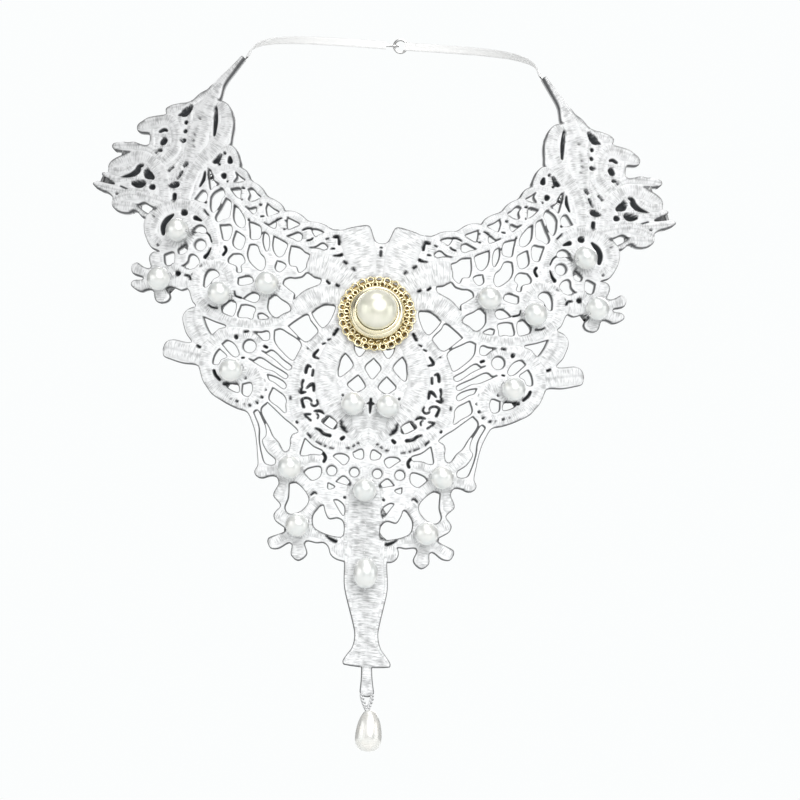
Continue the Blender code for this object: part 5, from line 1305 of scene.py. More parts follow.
# %% Rims of the whole collar
front_depth = joined_depth([closed_line(FRONT_OUTLINE, 0.8)])
front_depth = np.maximum(front_depth, front_depth[::-1])
front_depth = np.maximum(front_depth, joined_depth([strip.rim for strip in tail]))
spray_depth = joined_depth([closed_line(SPRAY_OUTLINE, 0.8), spray[2].rim])
spray_depth = np.maximum(spray_depth, spray_depth[::-1])
cloth = cut_from(np.maximum(front_depth, spray_depth), holes)
rims = cut_from(cloth.copy(), slits)
share = (spray_depth - front_depth) / 2  # above 0 where the spray is nearer than the front
grounds = {"front": -share, "left": share, "right": share.copy()}
grounds["left"][ACROSS > 0] = OUTSIDE
grounds["right"][ACROSS < 0] = OUTSIDE
print("ground, cm2:", {name: round(float((np.minimum(limit, cloth) > 0).sum()) * GRID**2 / 100, 1)
                       for name, limit in grounds.items()})

# %% [markdown]
# ## The ground
#
# Three loops run round each outline: at the rim, where the shade begins, and where it ends. Triangles fill
# what lies between them and a coarse grid, the sheet gets a back and upright sides, and along each rim the
# top rises to a round cord, as the buttonholed edge of a hole does.

# %% The ground's mesh
GROUND_LIFT = 1.15
GROUND_RIM = 0.9
CORD_RISE = 0.65
CORD_ACROSS = 2.0
FILL_STEP = 3  # every third place of the grid is a point of the sheet
FILL_MARGIN = 0.15
# painted shade on the ground's back, which its upright sides fade into
WALL_LIGHT = 0.8


def outlines_of(field, level):
    """The closed lines where the field passes a level: each grid square adds the piece that crosses it."""
    rim = level - field
    filled = rim < 0
    corners = filled[:-1, :-1].astype(int) + filled[1:, :-1] + filled[1:, 1:] + filled[:-1, 1:]
    onward = {}

    def crossing(a, b):
        part = rim[a] / (rim[a] - rim[b])
        x = ACROSS[a[0]] + part * (ACROSS[b[0]] - ACROSS[a[0]])
        z = UPWARD[a[1]] + part * (UPWARD[b[1]] - UPWARD[a[1]])
        return (min(a, b), max(a, b)), (x, z)

    for i, j in np.argwhere((corners > 0) & (corners < 4)).tolist():
        square = [(i, j), (i + 1, j), (i + 1, j + 1), (i, j + 1)]
        sides = list(zip(square, square[1:] + square[:1]))
        leave = [crossing(a, b) for a, b in sides if filled[a] and not filled[b]]
        enter = [crossing(a, b) for a, b in sides if not filled[a] and filled[b]]
        joined_there = sum(rim[corner] for corner in square) < 0
        if len(leave) == 2 and filled[square[0]] != joined_there:
            enter.reverse()
        for (key, point), (end_key, _) in zip(leave, enter):
            onward[key] = (point, end_key)
    found = []
    while onward:
        key = next(iter(onward))
        line = []
        while key in onward:
            point, key = onward.pop(key)
            line.append(point)
        if len(line) > 5:
            found.append(line)
    return found


def ground_mesh(name, limit):
    """A sheet of the cloth within a limit, with a cord along its rims and upright sides."""
    field, inside = np.minimum(rims, limit), np.minimum(cloth, limit)
    points, edges = [], []
    for level in (0.0, RIM_DARK, RIM_SHADE):
        for line in outlines_of(field, level):
            line = line[::2]
            first = len(points)
            points += line
            edges += [(first + k, first + (k + 1) % len(line)) for k in range(len(line))]
    i, j = np.nonzero(field[::FILL_STEP, ::FILL_STEP] > RIM_SHADE + FILL_MARGIN)
    points += np.stack([ACROSS[::FILL_STEP][i], UPWARD[::FILL_STEP][j]], axis=1).tolist()
    result = delaunay_2d_cdt([Vector(point) for point in points], edges, [], 0, 1e-4)
    flat = np.array([tuple(vertex) for vertex in result[0]])
    faces = np.array(result[2])
    middle = flat[faces].mean(axis=1)
    faces = faces[sampled(inside, middle[:, 0], middle[:, 1]) > 0]
    used, faces = np.unique(faces, return_inverse=True)
    flat, faces = flat[used], faces.reshape(-1, 3)
    deep = sampled(rims, flat[:, 0], flat[:, 1])
    # painted shade at the rims and on the floor of each slit
    light = openness(flat[:, 0], flat[:, 1], rims, cloth)
    cord = GROUND_RIM + CORD_RISE * np.sin(math.pi * np.clip(deep / CORD_ACROSS, 0, 1)) ** 0.7
    top = np.where(deep > CORD_ACROSS / 2, np.maximum(cord, GROUND_LIFT), cord)
    top[(deep < RIM_DARK / 2) & (sampled(cloth, flat[:, 0], flat[:, 1]) > RIM_DARK)] = SLIT_FLOOR - 0.05
    count = len(flat)
    lift = np.concatenate([top, np.full(count, LIFT_OFF)])
    places = laid(np.tile(flat[:, 0], 2), np.tile(flat[:, 1], 2), lift)
    sides = np.vstack([faces[:, [0, 1]], faces[:, [1, 2]], faces[:, [2, 0]]])
    order = np.sort(sides, axis=1)
    _, first, times = np.unique(order, axis=0, return_index=True, return_counts=True)
    open_sides = sides[first[times == 1]]
    a, b = open_sides[:, 0], open_sides[:, 1]
    walls = np.vstack([np.stack([b, a, a + count], axis=1), np.stack([b, a + count, b + count], axis=1)])
    faces = np.vstack([faces[:, ::-1], faces + count, walls[:, ::-1]])
    mesh = mesh_from(name, places, faces, np.tile(flat, (2, 1)))
    light = np.concatenate([light, np.full(count, WALL_LIGHT)])
    keep_values(mesh, light=light, middle=np.tile(np.clip(deep - 0.35, 0.1, 0.8), 2))
    mesh.set_sharp_from_angle(angle=math.radians(50))
    return mesh


# %% [markdown]
# ## The lace itself
#
# The stitches of the front, the tail and the sprays each make one piece, and the ground under them makes
# three, since a spray is its own piece of lace. The front's bands are cut off at the outline. Those of the
# tail and the sprays are drawn in to it instead, so that these pieces stay closed all round.

# %% Make the lace
lace_front = stitched_piece("lace_front_satin", satin, satin_lace, rims, cloth)
lace_net = stitched_piece("lace_front_cords", corded, corded_lace, rims, cloth)
lace_tail = stitched_piece("lace_tail", tail, ladder_lace, rims, cloth, trimmed=False)
spray_left = stitched_piece("leaf_spray_left", spray, satin_lace, rims, cloth, trimmed=False)
other_spray = [mirrored(strip) for strip in spray]
spray_right = stitched_piece("leaf_spray_right", other_spray, satin_lace, rims, cloth, trimmed=False)
for name, limit in grounds.items():
    label = "lace_ground" if name == "front" else f"spray_ground_{name}"
    add_piece(label, ground_mesh(label, limit), satin_lace)
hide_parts("lace_front")
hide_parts("lace_spray_left")
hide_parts("lace_spray_right")

# %% [markdown]
# ## Turned shapes and wires
#
# Pearls, the setting of the brooch and the drop are turned shapes: a profile carried round an axis. The
# filigree, the threads and the hook are wires: a circle carried along a line. Both are grids of points, so
# they use the same faces as the bands. Each is made in millimetres about its own middle, with its face
# towards local Z, and then seated on the cloth, square to it.

# %% Turned shapes, wires and seats
Shape = namedtuple("Shape", "places faces thread light")


def grid_shape(points, thread, light, round_grid, closed):
    faces = strip_faces(Strip(points, thread, light, round_grid, closed, False, None), 0)
    return Shape(points.reshape(-1, 3), faces, thread.reshape(-1, 2), light.ravel())


def joined(shapes):
    """Several shapes as one."""
    starts = np.cumsum([0] + [len(shape.places) for shape in shapes[:-1]])
    faces = np.vstack([shape.faces + start for shape, start in zip(shapes, starts)])
    places, thread = (np.vstack([getattr(shape, part) for shape in shapes]) for part in ("places", "thread"))
    return Shape(places, faces, thread, np.concatenate([shape.light for shape in shapes]))


def turned(profile, sides, light=None):
    """A profile of (radius, height), from its top down the outer side, carried round local Z."""
    profile = np.array(profile, float)
    angle = np.linspace(0, 2 * math.pi, sides, endpoint=False)[None, :]
    radius, height = profile[:, :1], profile[:, 1:]
    points = np.stack([radius * np.cos(angle), radius * np.sin(angle), height + 0 * angle], axis=2)
    run = distance_along(profile)[:, None] + 0 * angle
    # light along the profile is painted light and shade, where a material reads it
    shade = np.ones(len(profile)) if light is None else np.array(light, float)
    return grid_shape(points, np.stack([radius * angle, run], axis=2), shade[:, None] + 0 * angle, True, False)


def wire(path, radius, sides=8, closed=False):
    """A round wire along points, with ends that close."""
    path = np.array(path, float)
    if closed:
        ahead = np.roll(path, -1, axis=0) - np.roll(path, 1, axis=0)
    else:
        ahead = np.gradient(path, axis=0)
    ahead /= np.linalg.norm(ahead, axis=1)[:, None]
    normal = np.cross(ahead[0], (0.31, 0.17, 0.93))
    normals = []
    for direction in ahead:
        normal = normal - direction * normal.dot(direction)
        normal = normal / np.linalg.norm(normal)
        normals.append(normal)
    normals = np.array(normals)[:, None, :]
    across = np.cross(ahead[:, None, :], normals)
    radii = np.broadcast_to(np.asarray(radius, float), (len(path),)).copy()
    if not closed:
        radii[0] *= 0.05
        radii[-1] *= 0.05
    angle = np.linspace(0, 2 * math.pi, sides, endpoint=False)[None, :, None]
    ring = normals * np.cos(angle) + across * np.sin(angle)
    points = path[:, None, :] + ring * radii[:, None, None]
    run = distance_along(path)[:, None] + 0 * angle[..., 0]
    thread = np.stack([run, angle[..., 0] * radii[:, None]], axis=2)
    # painted light: lighter on the side of the wire that faces local Z, up or out of the cloth, darker under it
    light = np.clip(0.62 + 0.5 * ring[..., 2], 0.1, 1.0)
    return grid_shape(points, thread, light, True, closed)


def arc(middle, radius, first, last, height=0.0, step=0.35):
    """Points on an arc in the local XY plane; first and last are in turns, and radius may change along it."""
    turns = abs(last - first)
    count = max(6, int(2 * math.pi * np.mean(radius) * turns / step))
    angle = 2 * math.pi * np.linspace(first, last, count)
    reach = np.linspace(*radius, count) if isinstance(radius, tuple) else np.full(count, radius)
    x, y = middle[0] + reach * np.cos(angle), middle[1] + reach * np.sin(angle)
    return np.stack([x, y, np.full(count, height)], axis=1)


def seated(shape, x, z, lift):
    """A shape stood on the cloth at a place of the drawing, with its own Z out of the cloth."""
    place, outward = (value[0] for value in on_cloth(np.array([x]), np.array([z]), np.array([lift])))
    sideways = np.cross((0.0, 0.0, 1.0), outward)
    sideways /= np.linalg.norm(sideways)
    turn = np.stack([sideways, np.cross(outward, sideways), outward])
    return shape._replace(places=shape.places * MM @ turn + place)


def turned_piece(name, shape, material):
    """One object from a shape that is already in its place."""
    mesh = mesh_from(name, shape.places, shape.faces, shape.thread)
    keep_values(mesh, light=shape.light)
    return add_piece(name, mesh, material)


# %% [markdown]
# ## Nacre
#
# These pearls are moulded beads in several coats of pearl essence: a soft milky body under a clear gloss,
# with faint clouds in it. The clouds are one node group, used by the sewn pearls, the warmer one in the
# brooch, and the drop, each with its own two tints. The gloss is the shader's own coat.

# %% Pearl materials
nacre_group, given, made = new_group(
    "nacre", (("Place", VECTOR, None), ("Cloud Size", FLOAT, 500.0)), (("Cloud", FLOAT), ("Bloom", FLOAT))
)
tree, place = nacre_group, given.outputs["Place"]
size = given.outputs["Cloud Size"]
cloud = add_node(tree, "ShaderNodeTexNoise", Vector=place, Scale=size, Detail=3.0, Distortion=0.6)
grain = add_node(tree, "ShaderNodeTexNoise", Vector=place, Scale=900.0, Detail=2.0)
soft = ranged(tree, cloud.outputs[0], From_Min=0.35, From_Max=0.7)
set_inputs(tree, made, Cloud=soft, Bloom=grain.outputs[0])


def pearl_material(name, body, tint, roughness, lustre):
    material, tree, shader = new_material(name)
    place = add_node(tree, "ShaderNodeTexCoord").outputs["Object"]
    nacre = add_node(
        tree, "ShaderNodeGroup", {"node_tree": nacre_group}, Place=place, Cloud_Size=260.0
    ).outputs
    gloss = ranged(tree, nacre["Bloom"], To_Min=roughness - 0.01, To_Max=roughness + 0.02)
    set_inputs(tree, shader, Base_Color=mixed(tree, nacre["Cloud"], body, tint), Roughness=gloss, Metallic=lustre,
               Specular_IOR_Level=0.8, Coat_Weight=0.7, Coat_Roughness=0.09)
    return material


white_pearl = pearl_material("white pearl", (0.8, 0.83, 0.82), (0.88, 0.88, 0.85), 0.24, 0.35)
cream_pearl = pearl_material("cream pearl", (0.82, 0.82, 0.68), (0.9, 0.88, 0.76), 0.24, 0.35)
drop_pearl_finish = pearl_material("drop pearl", (0.84, 0.85, 0.82), (0.9, 0.88, 0.83), 0.22, 0.35)
print("pearl finishes:", white_pearl.name, cream_pearl.name, drop_pearl_finish.name)

# %% [markdown]
# ## Sewn pearls
#
# A bead is drilled through, and lies with its hole along the cloth, so that the thread comes out on both
# sides. A real thread then goes down through the lace. These stop a fifth of a millimetre above the
# stitches. Each bead is turned about its own hole, with a small sunk rim at each end, and lies at its own
# angle.

# %% Sewn pearls
OVAL_RADIUS = 4.2
OVAL_STRETCH = 1.28
DRILL = 0.42
SEWING_RADIUS = 0.2


def bead(radius, stretch=1.0):
    """A drilled bead about local X, longer along it by stretch."""
    rise = np.linspace(math.asin(DRILL / radius), math.pi - math.asin(DRILL / radius), 30)
    profile = [(0.8 * DRILL, radius * stretch - 0.9), (DRILL * 0.95, radius * stretch - 0.35)]
    profile += [(radius * math.sin(a), radius * stretch * math.cos(a)) for a in rise]
    profile += [(DRILL * 0.95, 0.35 - radius * stretch), (0.8 * DRILL, 0.9 - radius * stretch)]
    shape = turned(profile, 56, [0.2, 0.6] + [1.0] * len(rise) + [0.6, 0.2])
    return shape._replace(places=shape.places[:, [2, 0, 1]])


def turned_by(shape, angle):
    """A shape turned about local Z."""
    spin = np.array([[math.cos(angle), math.sin(angle), 0], [-math.sin(angle), math.cos(angle), 0], [0, 0, 1]])
    return shape._replace(places=shape.places @ spin)


def sewing(reach, radius):
    """The thread that comes out of a bead's hole at each end and goes down to just above the lace."""
    threads = []
    for side in (-1, 1):
        for offset in (-0.2, 0.2):
            path = ((side * (reach - 0.8), 0.3 * offset, 0), (side * (reach + 0.12), 0.5 * offset, -0.02),
                    (side * (reach + 0.3), offset, -0.5), (side * (reach + 0.16), 1.6 * offset,
                    -0.4 * radius),
                    (side * (reach - 0.3), 2.4 * offset, -radius - 0.3))
            knots = np.array(path)
            fine = np.linspace(0, 4, 17)
            line = np.stack([np.interp(fine, np.arange(5), knots[:, k]) for k in range(3)], axis=1)
            threads.append(wire(line, SEWING_RADIUS, 6))
    return joined(threads)


pearl_places = {"pearl_centre": foot_of(CENTRE_SEAT.x, CENTRE_SEAT.z, PEARL_LIFT)}
oval_x = OVAL_SEAT.x + float(sway(OVAL_SEAT.z))
pearl_places["pearl_oval"] = foot_of(oval_x, OVAL_SEAT.z, LACE_FULL + SEAM + OVAL_RADIUS)
for pearl in PEARLS:
    x, z = foot_of(pearl.x, pearl.z, PEARL_LIFT)
    pearl_places[f"pearl_{pearl.name}_left"] = (x, z)
    pearl_places[f"pearl_{pearl.name}_right"] = (-x, z)
threads = []
for name, (x, z) in pearl_places.items():
    oval = name == "pearl_oval"
    radius, stretch = (OVAL_RADIUS, OVAL_STRETCH) if oval else (PEARL_RADIUS, 1.0)
    lie = math.pi / 2 if oval else draws.uniform(-0.7, 0.7)
    lift = LACE_FULL + SEAM + radius
    shape = seated(turned_by(bead(radius, stretch), lie), x, z, lift)
    piece = turned_piece(f"{name}_bead", shape, white_pearl)
    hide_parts(name)
    threads.append(seated(turned_by(sewing(radius * stretch, radius), lie), x, z, lift))
# the threads take the wire's painted light: lighter on the side away from the cloth, darker under it
turned_piece("pearl_threads", joined(threads), corded_lace)
print("pearls sewn on:", len(pearl_places), "triangles in each:", 2 * len(piece.data.polygons))

# %% [markdown]
# ## Gilt
#
# The brooch is cast and wire-worked base metal under a thin pale gold wash. Light and shade are painted
# into its colour: brighter on the upper side of each wire and on the ridges of the rim, browner on the
# undersides, the sunk walls and the plate behind the wires. A second node group gives the uneven bloom of
# plated metal, which the gilt and the nickel of the hook share.

# %% Plated metals
bloom_group, given, made = new_group(
    "plating", (("Place", VECTOR, None), ("Patch Size", FLOAT, 900.0)), (("Patch", FLOAT), ("Height", FLOAT))
)
tree, place, size = bloom_group, given.outputs["Place"], given.outputs["Patch Size"]
patch = add_node(tree, "ShaderNodeTexNoise", Vector=place, Scale=size, Detail=4.0, Roughness=0.65)
fine_scale = math_node(tree, "MULTIPLY", size, 4.0)
fine = add_node(tree, "ShaderNodeTexNoise", Vector=place, Scale=fine_scale, Detail=2.0)
set_inputs(tree, made, Patch=patch.outputs[0], Height=fine.outputs[0])


def plated_material(name, bright, shade_tint, roughness, bump):
    material, tree, shader = new_material(name)
    place = add_node(tree, "ShaderNodeTexCoord").outputs["Object"]
    plating = add_node(
        tree, "ShaderNodeGroup", {"node_tree": bloom_group}, Place=place, Patch_Size=700.0
    ).outputs
    light = add_node(tree, "ShaderNodeAttribute", {"attribute_name": "light"}).outputs["Fac"]
    # painted light and shade from the kept value, times the plating's own uneven bloom
    shade_and_bloom = math_node(tree, "MULTIPLY", light, math_node(tree, "ADD", plating["Patch"], 0.55))
    gloss = ranged(tree, shade_and_bloom, To_Min=roughness + 0.1, To_Max=roughness - 0.06)
    raised = add_node(tree, "ShaderNodeBump", Strength=bump, Distance=0.00005, Height=plating["Height"])
    set_inputs(tree, shader, Base_Color=mixed(tree, shade_and_bloom, shade_tint, bright), Roughness=gloss, Metallic=1.0,
               Normal=raised.outputs[0])
    return material


gilt = plated_material("pale gilt", (0.98, 0.89, 0.6), (0.33, 0.22, 0.07), 0.26, 0.25)
gilt_polished = plated_material("polished gilt", (0.99, 0.92, 0.68), (0.62, 0.48, 0.22), 0.2, 0.08)
nickel = plated_material("nickel wire", (0.8, 0.8, 0.79), (0.3, 0.3, 0.3), 0.2, 0.1)

# %% [markdown]
# ## The brooch
#
# Two rows of small wire loops go round the setting, each a little tilted, with grains between them, over a
# plate that stands for the perforated one: its colour is painted dark brown as the shade in the gaps
# between the loops. A smooth sloping rim with two low ridges holds the pearl. Real filigree is made just
# so, wire by wire, so it is built that way.

# %% Brooch filigree
LoopRow = namedtuple("LoopRow", "count place radius lift turn")
LOOP_ROWS = (LoopRow(26, 12.05, 1.12, 0.05, 0.0), LoopRow(26, 10.35, 0.82, 0.3, 0.5))
WIRE = 0.32
PLATE_LIFT = LACE_FULL + SEAM + 0.6
BROOCH_FOOT = foot_of(0.0, 0.0, 6.0)


def grain(x, y, height, radius):
    profile = [(radius * math.sin(a), radius * math.cos(a)) for a in np.linspace(0.05, math.pi - 0.05, 8)]
    shape = turned(profile, 12)
    return shape._replace(places=shape.places + np.array([x, y, height]))


def round_place(angle, reach):
    return np.array([reach * math.sin(angle), reach * math.cos(angle)])


wires = []
for row in LOOP_ROWS:
    for k in range(row.count):
        angle = 2 * math.pi * (k + row.turn) / row.count
        loop = arc((0, 0), row.radius, 0, 1)[:-1]
        loop[:, 2] = loop[:, :2] @ draws.uniform(-0.35, 0.35, 2)
        loop += np.array([*round_place(angle, row.place + draws.uniform(-0.12, 0.12)), row.lift])
        wires.append(wire(loop, WIRE, 8, closed=True))
        wires.append(grain(*round_place(angle + math.pi / row.count, row.place + 0.75), row.lift + 0.1, 0.38))
# the plate's value of 0.05 paints it in the dark shade tint, for the shade in the gaps between the loops
plate = turned(((12.2, -0.4), (12.3, -0.5), (12.2, -0.6), (8.6, -0.6), (8.6, -0.4)), 96, [0.05] * 5)
wires.append(plate._replace(faces=plate.faces[:, ::-1]))
filigree = turned_piece("brooch_wirework", seated(joined(wires), *BROOCH_FOOT, PLATE_LIFT), gilt)
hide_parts("brooch_filigree")
print("wires and grains in the brooch:", len(wires), "triangles:", 2 * len(filigree.data.polygons))

# %% [markdown]
# ## The brooch's rim and pearl
#
# The rim is turned in one piece, from the lip that holds the pearl down over its two ridges to the foot on
# the plate. The pearl is a half bead with a flat back, and sits in it.

# %% Brooch setting and pearl
BEZEL_LIFT = LACE_FULL + SEAM + 1.2 + SEAM
CABOCHON_RADIUS = 7.0
CABOCHON_DOME = 0.86
CABOCHON_BASE = -2.6
bezel_profile = (
    (6.95, 0.9), (6.98, 2.4), (7.08, 2.7), (7.3, 2.88), (7.55, 2.85), (7.8, 2.55), (8.05, 2.25), (8.35, 2.1),
    (8.6, 2.1), (8.85, 1.9), (9.1, 1.45), (9.3, 1.1), (9.5, 0.8), (9.55, 0.5), (9.4, 0.2), (8.4, 0.0),
    (5.2, 0.0), (5.2, 0.8), (6.95, 0.9),
)
# painted light and shade along the rim's profile: bright on the ridges, dark on the lip, the outer slope and the
# foot
bezel_light = (0.1, 0.3, 0.8, 1, 1, 0.85, 0.7, 0.9, 1, 0.95, 0.8, 0.7, 0.6, 0.4, 0.2, 0.2, 0.2, 0.2, 0.1)
setting = seated(turned(bezel_profile, 96, bezel_light), *BROOCH_FOOT, BEZEL_LIFT)
bezel = turned_piece("brooch_rim", setting, gilt_polished)
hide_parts("brooch_bezel")
half_height = CABOCHON_RADIUS * CABOCHON_DOME
falls = np.linspace(0.02, math.pi / 2 + math.asin(-CABOCHON_BASE / half_height), 40)
dome = [(CABOCHON_RADIUS * math.sin(a), half_height * math.cos(a)) for a in falls] + [(0.05, CABOCHON_BASE)]
lift = BEZEL_LIFT + 0.8 + SEAM - CABOCHON_BASE
cabochon = turned_piece("brooch_cabochon", seated(turned(dome, 96), *BROOCH_FOOT, lift), cream_pearl)
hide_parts("brooch_pearl")
print("cabochon stands proud of the lace by", round(lift + half_height - LACE_FULL, 1), "mm")

# %% [markdown]
# ## The drop
#
# A pear-shaped pearl hangs from the tab at the end of the tail, on two loops of twisted thread that go into
# the hole in its top. Its outline is a few widths, smoothed.

# %% Drop and its loops
DROP_PLACE = (6.9, -142.4)
DROP_RADIUS = 4.5
DROP_LENGTH = 14.4
DROP_LIFT = 0.9
LOOP_THREAD = 0.42
LOOP_TURNS = 3.5
DROP_SWELL = (0.0, 0.29, 0.52, 0.71, 0.86, 0.96, 1.0, 0.95, 0.78, 0.46, 0.0)


def drop_shape():
    """The pear shape, its top at height 0, with a small sunk hole there."""
    last = len(DROP_SWELL) - 1
    heights = [DROP_LENGTH * (0.5 + 0.5 * math.cos(math.pi * k / last)) - DROP_LENGTH for k in range(last + 1)]
    outline = smooth_line([(DROP_RADIUS * swell, height) for swell, height in zip(DROP_SWELL, heights)], 0.35)
    outline = outline[outline[:, 0] > 0.5]
    profile = [(0.35, -1.2), (0.42, outline[0, 1] - 0.3)] + outline.tolist() + [(0.03, -DROP_LENGTH)]
    return turned(profile, 64)


def twisted(path, radius, turns):
    """Two threads laid round each other along a path."""
    path = np.array(path, float)
    share = np.linspace(0, 1, 40)
    at = np.linspace(0, 1, len(path))
    line = np.stack([np.interp(share, at, path[:, k]) for k in range(3)], axis=1)
    strands = []
    for start in (0, math.pi):
        angle = 2 * math.pi * turns * share + start
        swing = np.stack([np.cos(angle), 0.7 * np.sin(angle), np.sin(angle)], axis=1) * radius * 0.8
        strands.append(wire(line + swing, radius, 8))
    return joined(strands)


top, _ = on_cloth(np.array([DROP_PLACE[0]]), np.array([DROP_PLACE[1] + DROP_LENGTH / 2]), np.array([DROP_LIFT]))
shape = drop_shape()
drop = turned_piece("pear_drop", shape._replace(places=shape.places * MM + top), drop_pearl_finish)
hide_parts("drop_pearl")
loops = []
for side in (-1, 1):
    ends = ((side * 1.75, -129.6, 1.0), (side * 1.7, -131.4, 1.0), (side * 0.95, -133.6, 0.9),
            (side * 0.3, -135.1, 0.9), (side * 0.12, -136.3, 0.9))
    path = []
    for x, z, raised in ends:
        place, _ = on_cloth(np.array([x + sway(z)]), np.array([z]), np.array([raised]))
        path.append(place[0] / MM)
    path[-1] = top[0] / MM + (side * 0.12, 0, -0.8)
    loops.append(twisted(path, LOOP_THREAD, LOOP_TURNS))
loops = joined(loops)
# the loops take the wire's painted light: lighter on top, darker underneath
drop_loops = turned_piece("drop_loops", loops._replace(places=loops.places * MM), corded_lace)
print("drop ends at height", round(float(top[0, 2] - DROP_LENGTH * MM), 4))

# %% [markdown]
# ## Ribbons, hook and eye
#
# A narrow woven ribbon goes from the tip of each spray round to the back of the neck, where a wire hook and
# eye close the collar. The ribbon's end is folded round the wire and stitched down.

# %% Ribbons
RIBBON_PATH = ((-48.3, 22.4, 88), (-43, 32, 90.3), (-33, 43.5, 91.6), (-18, 53, 92), (-3.2, 56.5, 92))
RIBBON_WIDTH = (1.8, 2.8)
RIBBON_THICKNESS = 0.6
RIBBON_ROLL = 1.1


def ribbon_shape(sign):
    """A flat strip with slightly thickened woven edges, its face turned outward round the neck."""
    x, z = SPRAY_TIP[0] + 0.7 * SEAM, SPRAY_TIP[1] + SEAM
    _, outward = on_cloth(np.array([x]), np.array([z]), np.zeros(1))
    x, z = float(x - STAND * outward[0, 0]), float(z - STAND * outward[0, 2])
    path = smooth_line(((x, float(depth(x, z)), z),) + RIBBON_PATH, 0.8)
    ahead = np.gradient(path, axis=0)
    ahead /= np.linalg.norm(ahead, axis=1)[:, None]
    share = np.linspace(0, 1, len(path))[:, None]
    flat = path * (1, 1, 0)
    outward = flat / np.linalg.norm(flat, axis=1)[:, None] + np.array([0, 0, RIBBON_ROLL]) * (1 - share) ** 2
    outward -= ahead * np.sum(outward * ahead, axis=1)[:, None]
    outward /= np.linalg.norm(outward, axis=1)[:, None]
    across = np.cross(ahead, outward)
    half = (RIBBON_WIDTH[0] + (RIBBON_WIDTH[1] - RIBBON_WIDTH[0]) * np.minimum(1, 3 * share)) / 2
    a = np.array([-1, -0.86, -0.7, -0.3, 0.3, 0.7, 0.86, 1, 0.86, 0.5, 0, -0.5, -0.86])
    rise = np.array([0, 1, 0.7, 0.6, 0.6, 0.7, 1, 0, -1, -0.6, -0.6, -0.6, -1]) * RIBBON_THICKNESS / 2
    middle = path - (0, 0, NECK_HEIGHT)
    points = middle[:, None, :] + across[:, None, :] * (half * a)[..., None]
    points = points + outward[:, None, :] * rise[:, None]
    run = distance_along(path)[:, None]
    thread = np.stack([half * a, run + 0 * a], axis=2)
    # painted shade along the ribbon's two edges
    light = np.broadcast_to(np.where(np.abs(a) > 0.95, 0.35, 1.0), thread.shape[:2])
    shape = grid_shape(points * (sign, 1, 1) * MM, thread, light, True, False)
    return shape if sign > 0 else shape._replace(faces=shape.faces[:, ::-1])


# RIBBON_SHADE is the colour of the painted shade at the ribbon's edges
RIBBON_WHITE, RIBBON_SHADE = (0.95, 0.95, 0.94), (0.6, 0.61, 0.62)
ribbon_weave = lace_material("woven ribbon", RIBBON_WHITE, RIBBON_SHADE, 0.22, 0.25, 0.1, sheen=0.3)
for side, sign in (("left", 1), ("right", -1)):
    turned_piece(f"ribbon_{side}", ribbon_shape(sign), ribbon_weave)
    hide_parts(f"neck_ribbon_{side}")

# %% [markdown]
# ## Hook and eye
#
# Both are bent from one thickness of nickel wire: the eye is a plain ring, and the hook a straight shank
# that turns back on itself round the ring's rim, with a little room for it to move.

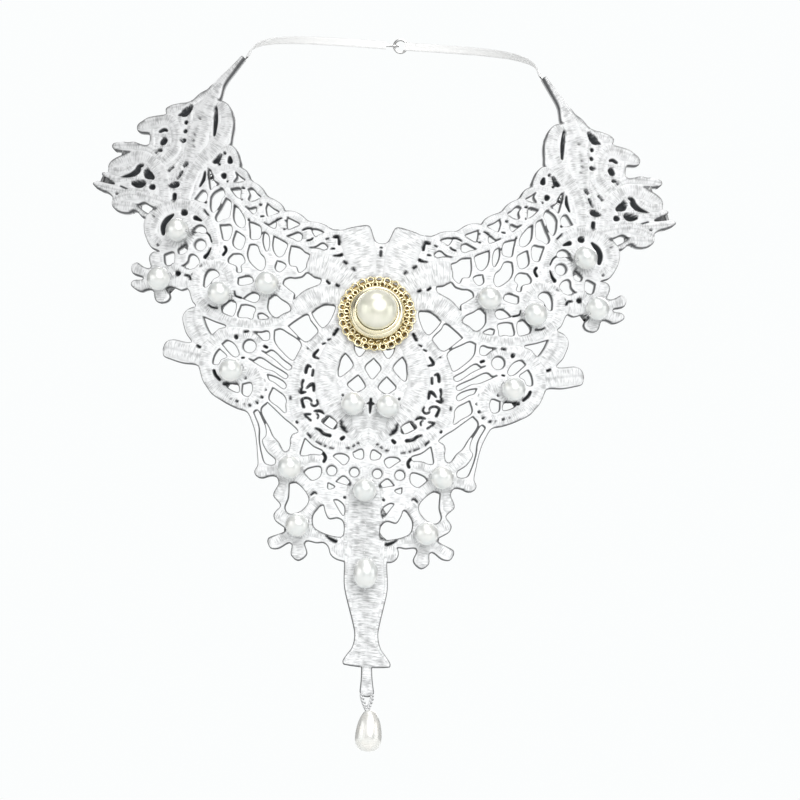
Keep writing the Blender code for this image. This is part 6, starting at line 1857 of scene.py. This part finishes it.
# %% Hook and eye
WIRE_RADIUS = 0.45
HOOK_REACH = 6.0
HOOK_RISE = 1.4
HOOK_TIP = 1.6
EYE_RADIUS = 2.2
EYE_OVERLAP = 0.4
back_y = RIBBON_PATH[-1][1] + 0.6 + SEAM + WIRE_RADIUS
back_z = RIBBON_PATH[-1][2] - NECK_HEIGHT
eye_x = EYE_RADIUS - EYE_OVERLAP
eye_path = []
for angle in np.linspace(0, 2 * math.pi, 48, endpoint=False):
    eye_path.append((eye_x + EYE_RADIUS * math.cos(angle), back_y, back_z + EYE_RADIUS * math.sin(angle)))
bend = 2 * WIRE_RADIUS + SEAM
rim_x = eye_x - EYE_RADIUS
start_x = rim_x - HOOK_REACH
hook_path = [(start_x, back_y), (start_x + HOOK_RISE, back_y + bend), (rim_x - bend, back_y + bend)]
hook_path += [(rim_x + bend * math.sin(a), back_y + bend * math.cos(a)) for a in np.linspace(0, math.pi, 15)]
hook_path.append((rim_x - HOOK_TIP, back_y - bend))
eye_shape = wire(eye_path, WIRE_RADIUS, 12, closed=True)
hook_shape = wire([(x, y, back_z) for x, y in hook_path], WIRE_RADIUS, 12)
# the nickel takes the wire's painted light: lighter on top, darker underneath
for node, shape in (("clasp_eye", eye_shape), ("clasp_hook", hook_shape)):
    piece = turned_piece(f"{node}_wire", shape._replace(places=shape.places * MM), nickel)
    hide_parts(node)

# %% [markdown]
# ## What is cloth
#
# The front, the tail and the two sprays are sheets of lace. For each, the size of the piece of ground that it
# was stitched on and the flat area of its bands, counted one by one and before they are trimmed, are worked
# out and printed.

# %% Sheets


def cloth_area(strips):
    """The area of all the bands as cloth, laid flat, in square metres."""
    total = 0.0
    for strip in strips:
        places, _ = on_cloth(strip.points[..., 0], strip.points[..., 1], np.zeros(strip.light.shape))
        across, along = np.diff(places, axis=1)[:-1], np.diff(places, axis=0)[:, :-1]
        total += np.linalg.norm(np.cross(across, along), axis=2).sum() / 2
    return total


def cloth_length(start, end):
    """How long a straight line of the drawing is on the cloth, in metres."""
    share = np.linspace(0, 1, 60)
    x, z = (start[k] + share * (end[k] - start[k]) for k in range(2))
    places, _ = on_cloth(x, z, np.zeros(len(share)))
    return distance_along(places)[-1]


FRONT_CUT = (cloth_length((-87, 8), (87, 8)), cloth_length((0, 34), (0, -89)))
TAIL_CUT = (cloth_length((-12, -80), (12, -80)), cloth_length((0, -57), (0, -132)))
SPRAY_CUT = (cloth_length((-100.6, 50), (-52, 50)), cloth_length((-70, 27), (-70, 84)))


def declare_lace(piece, cut, strips):
    area = cloth_area(strips)
    print(f"{piece.name}: {area * 1e4:.1f} cm2 of bands, cut {cut[0] * 1e3:.0f} by {cut[1] * 1e3:.0f} mm")


declare_lace(lace_front, FRONT_CUT, satin)
declare_lace(lace_tail, TAIL_CUT, tail)
declare_lace(spray_left, SPRAY_CUT, spray)
declare_lace(spray_right, SPRAY_CUT, spray)
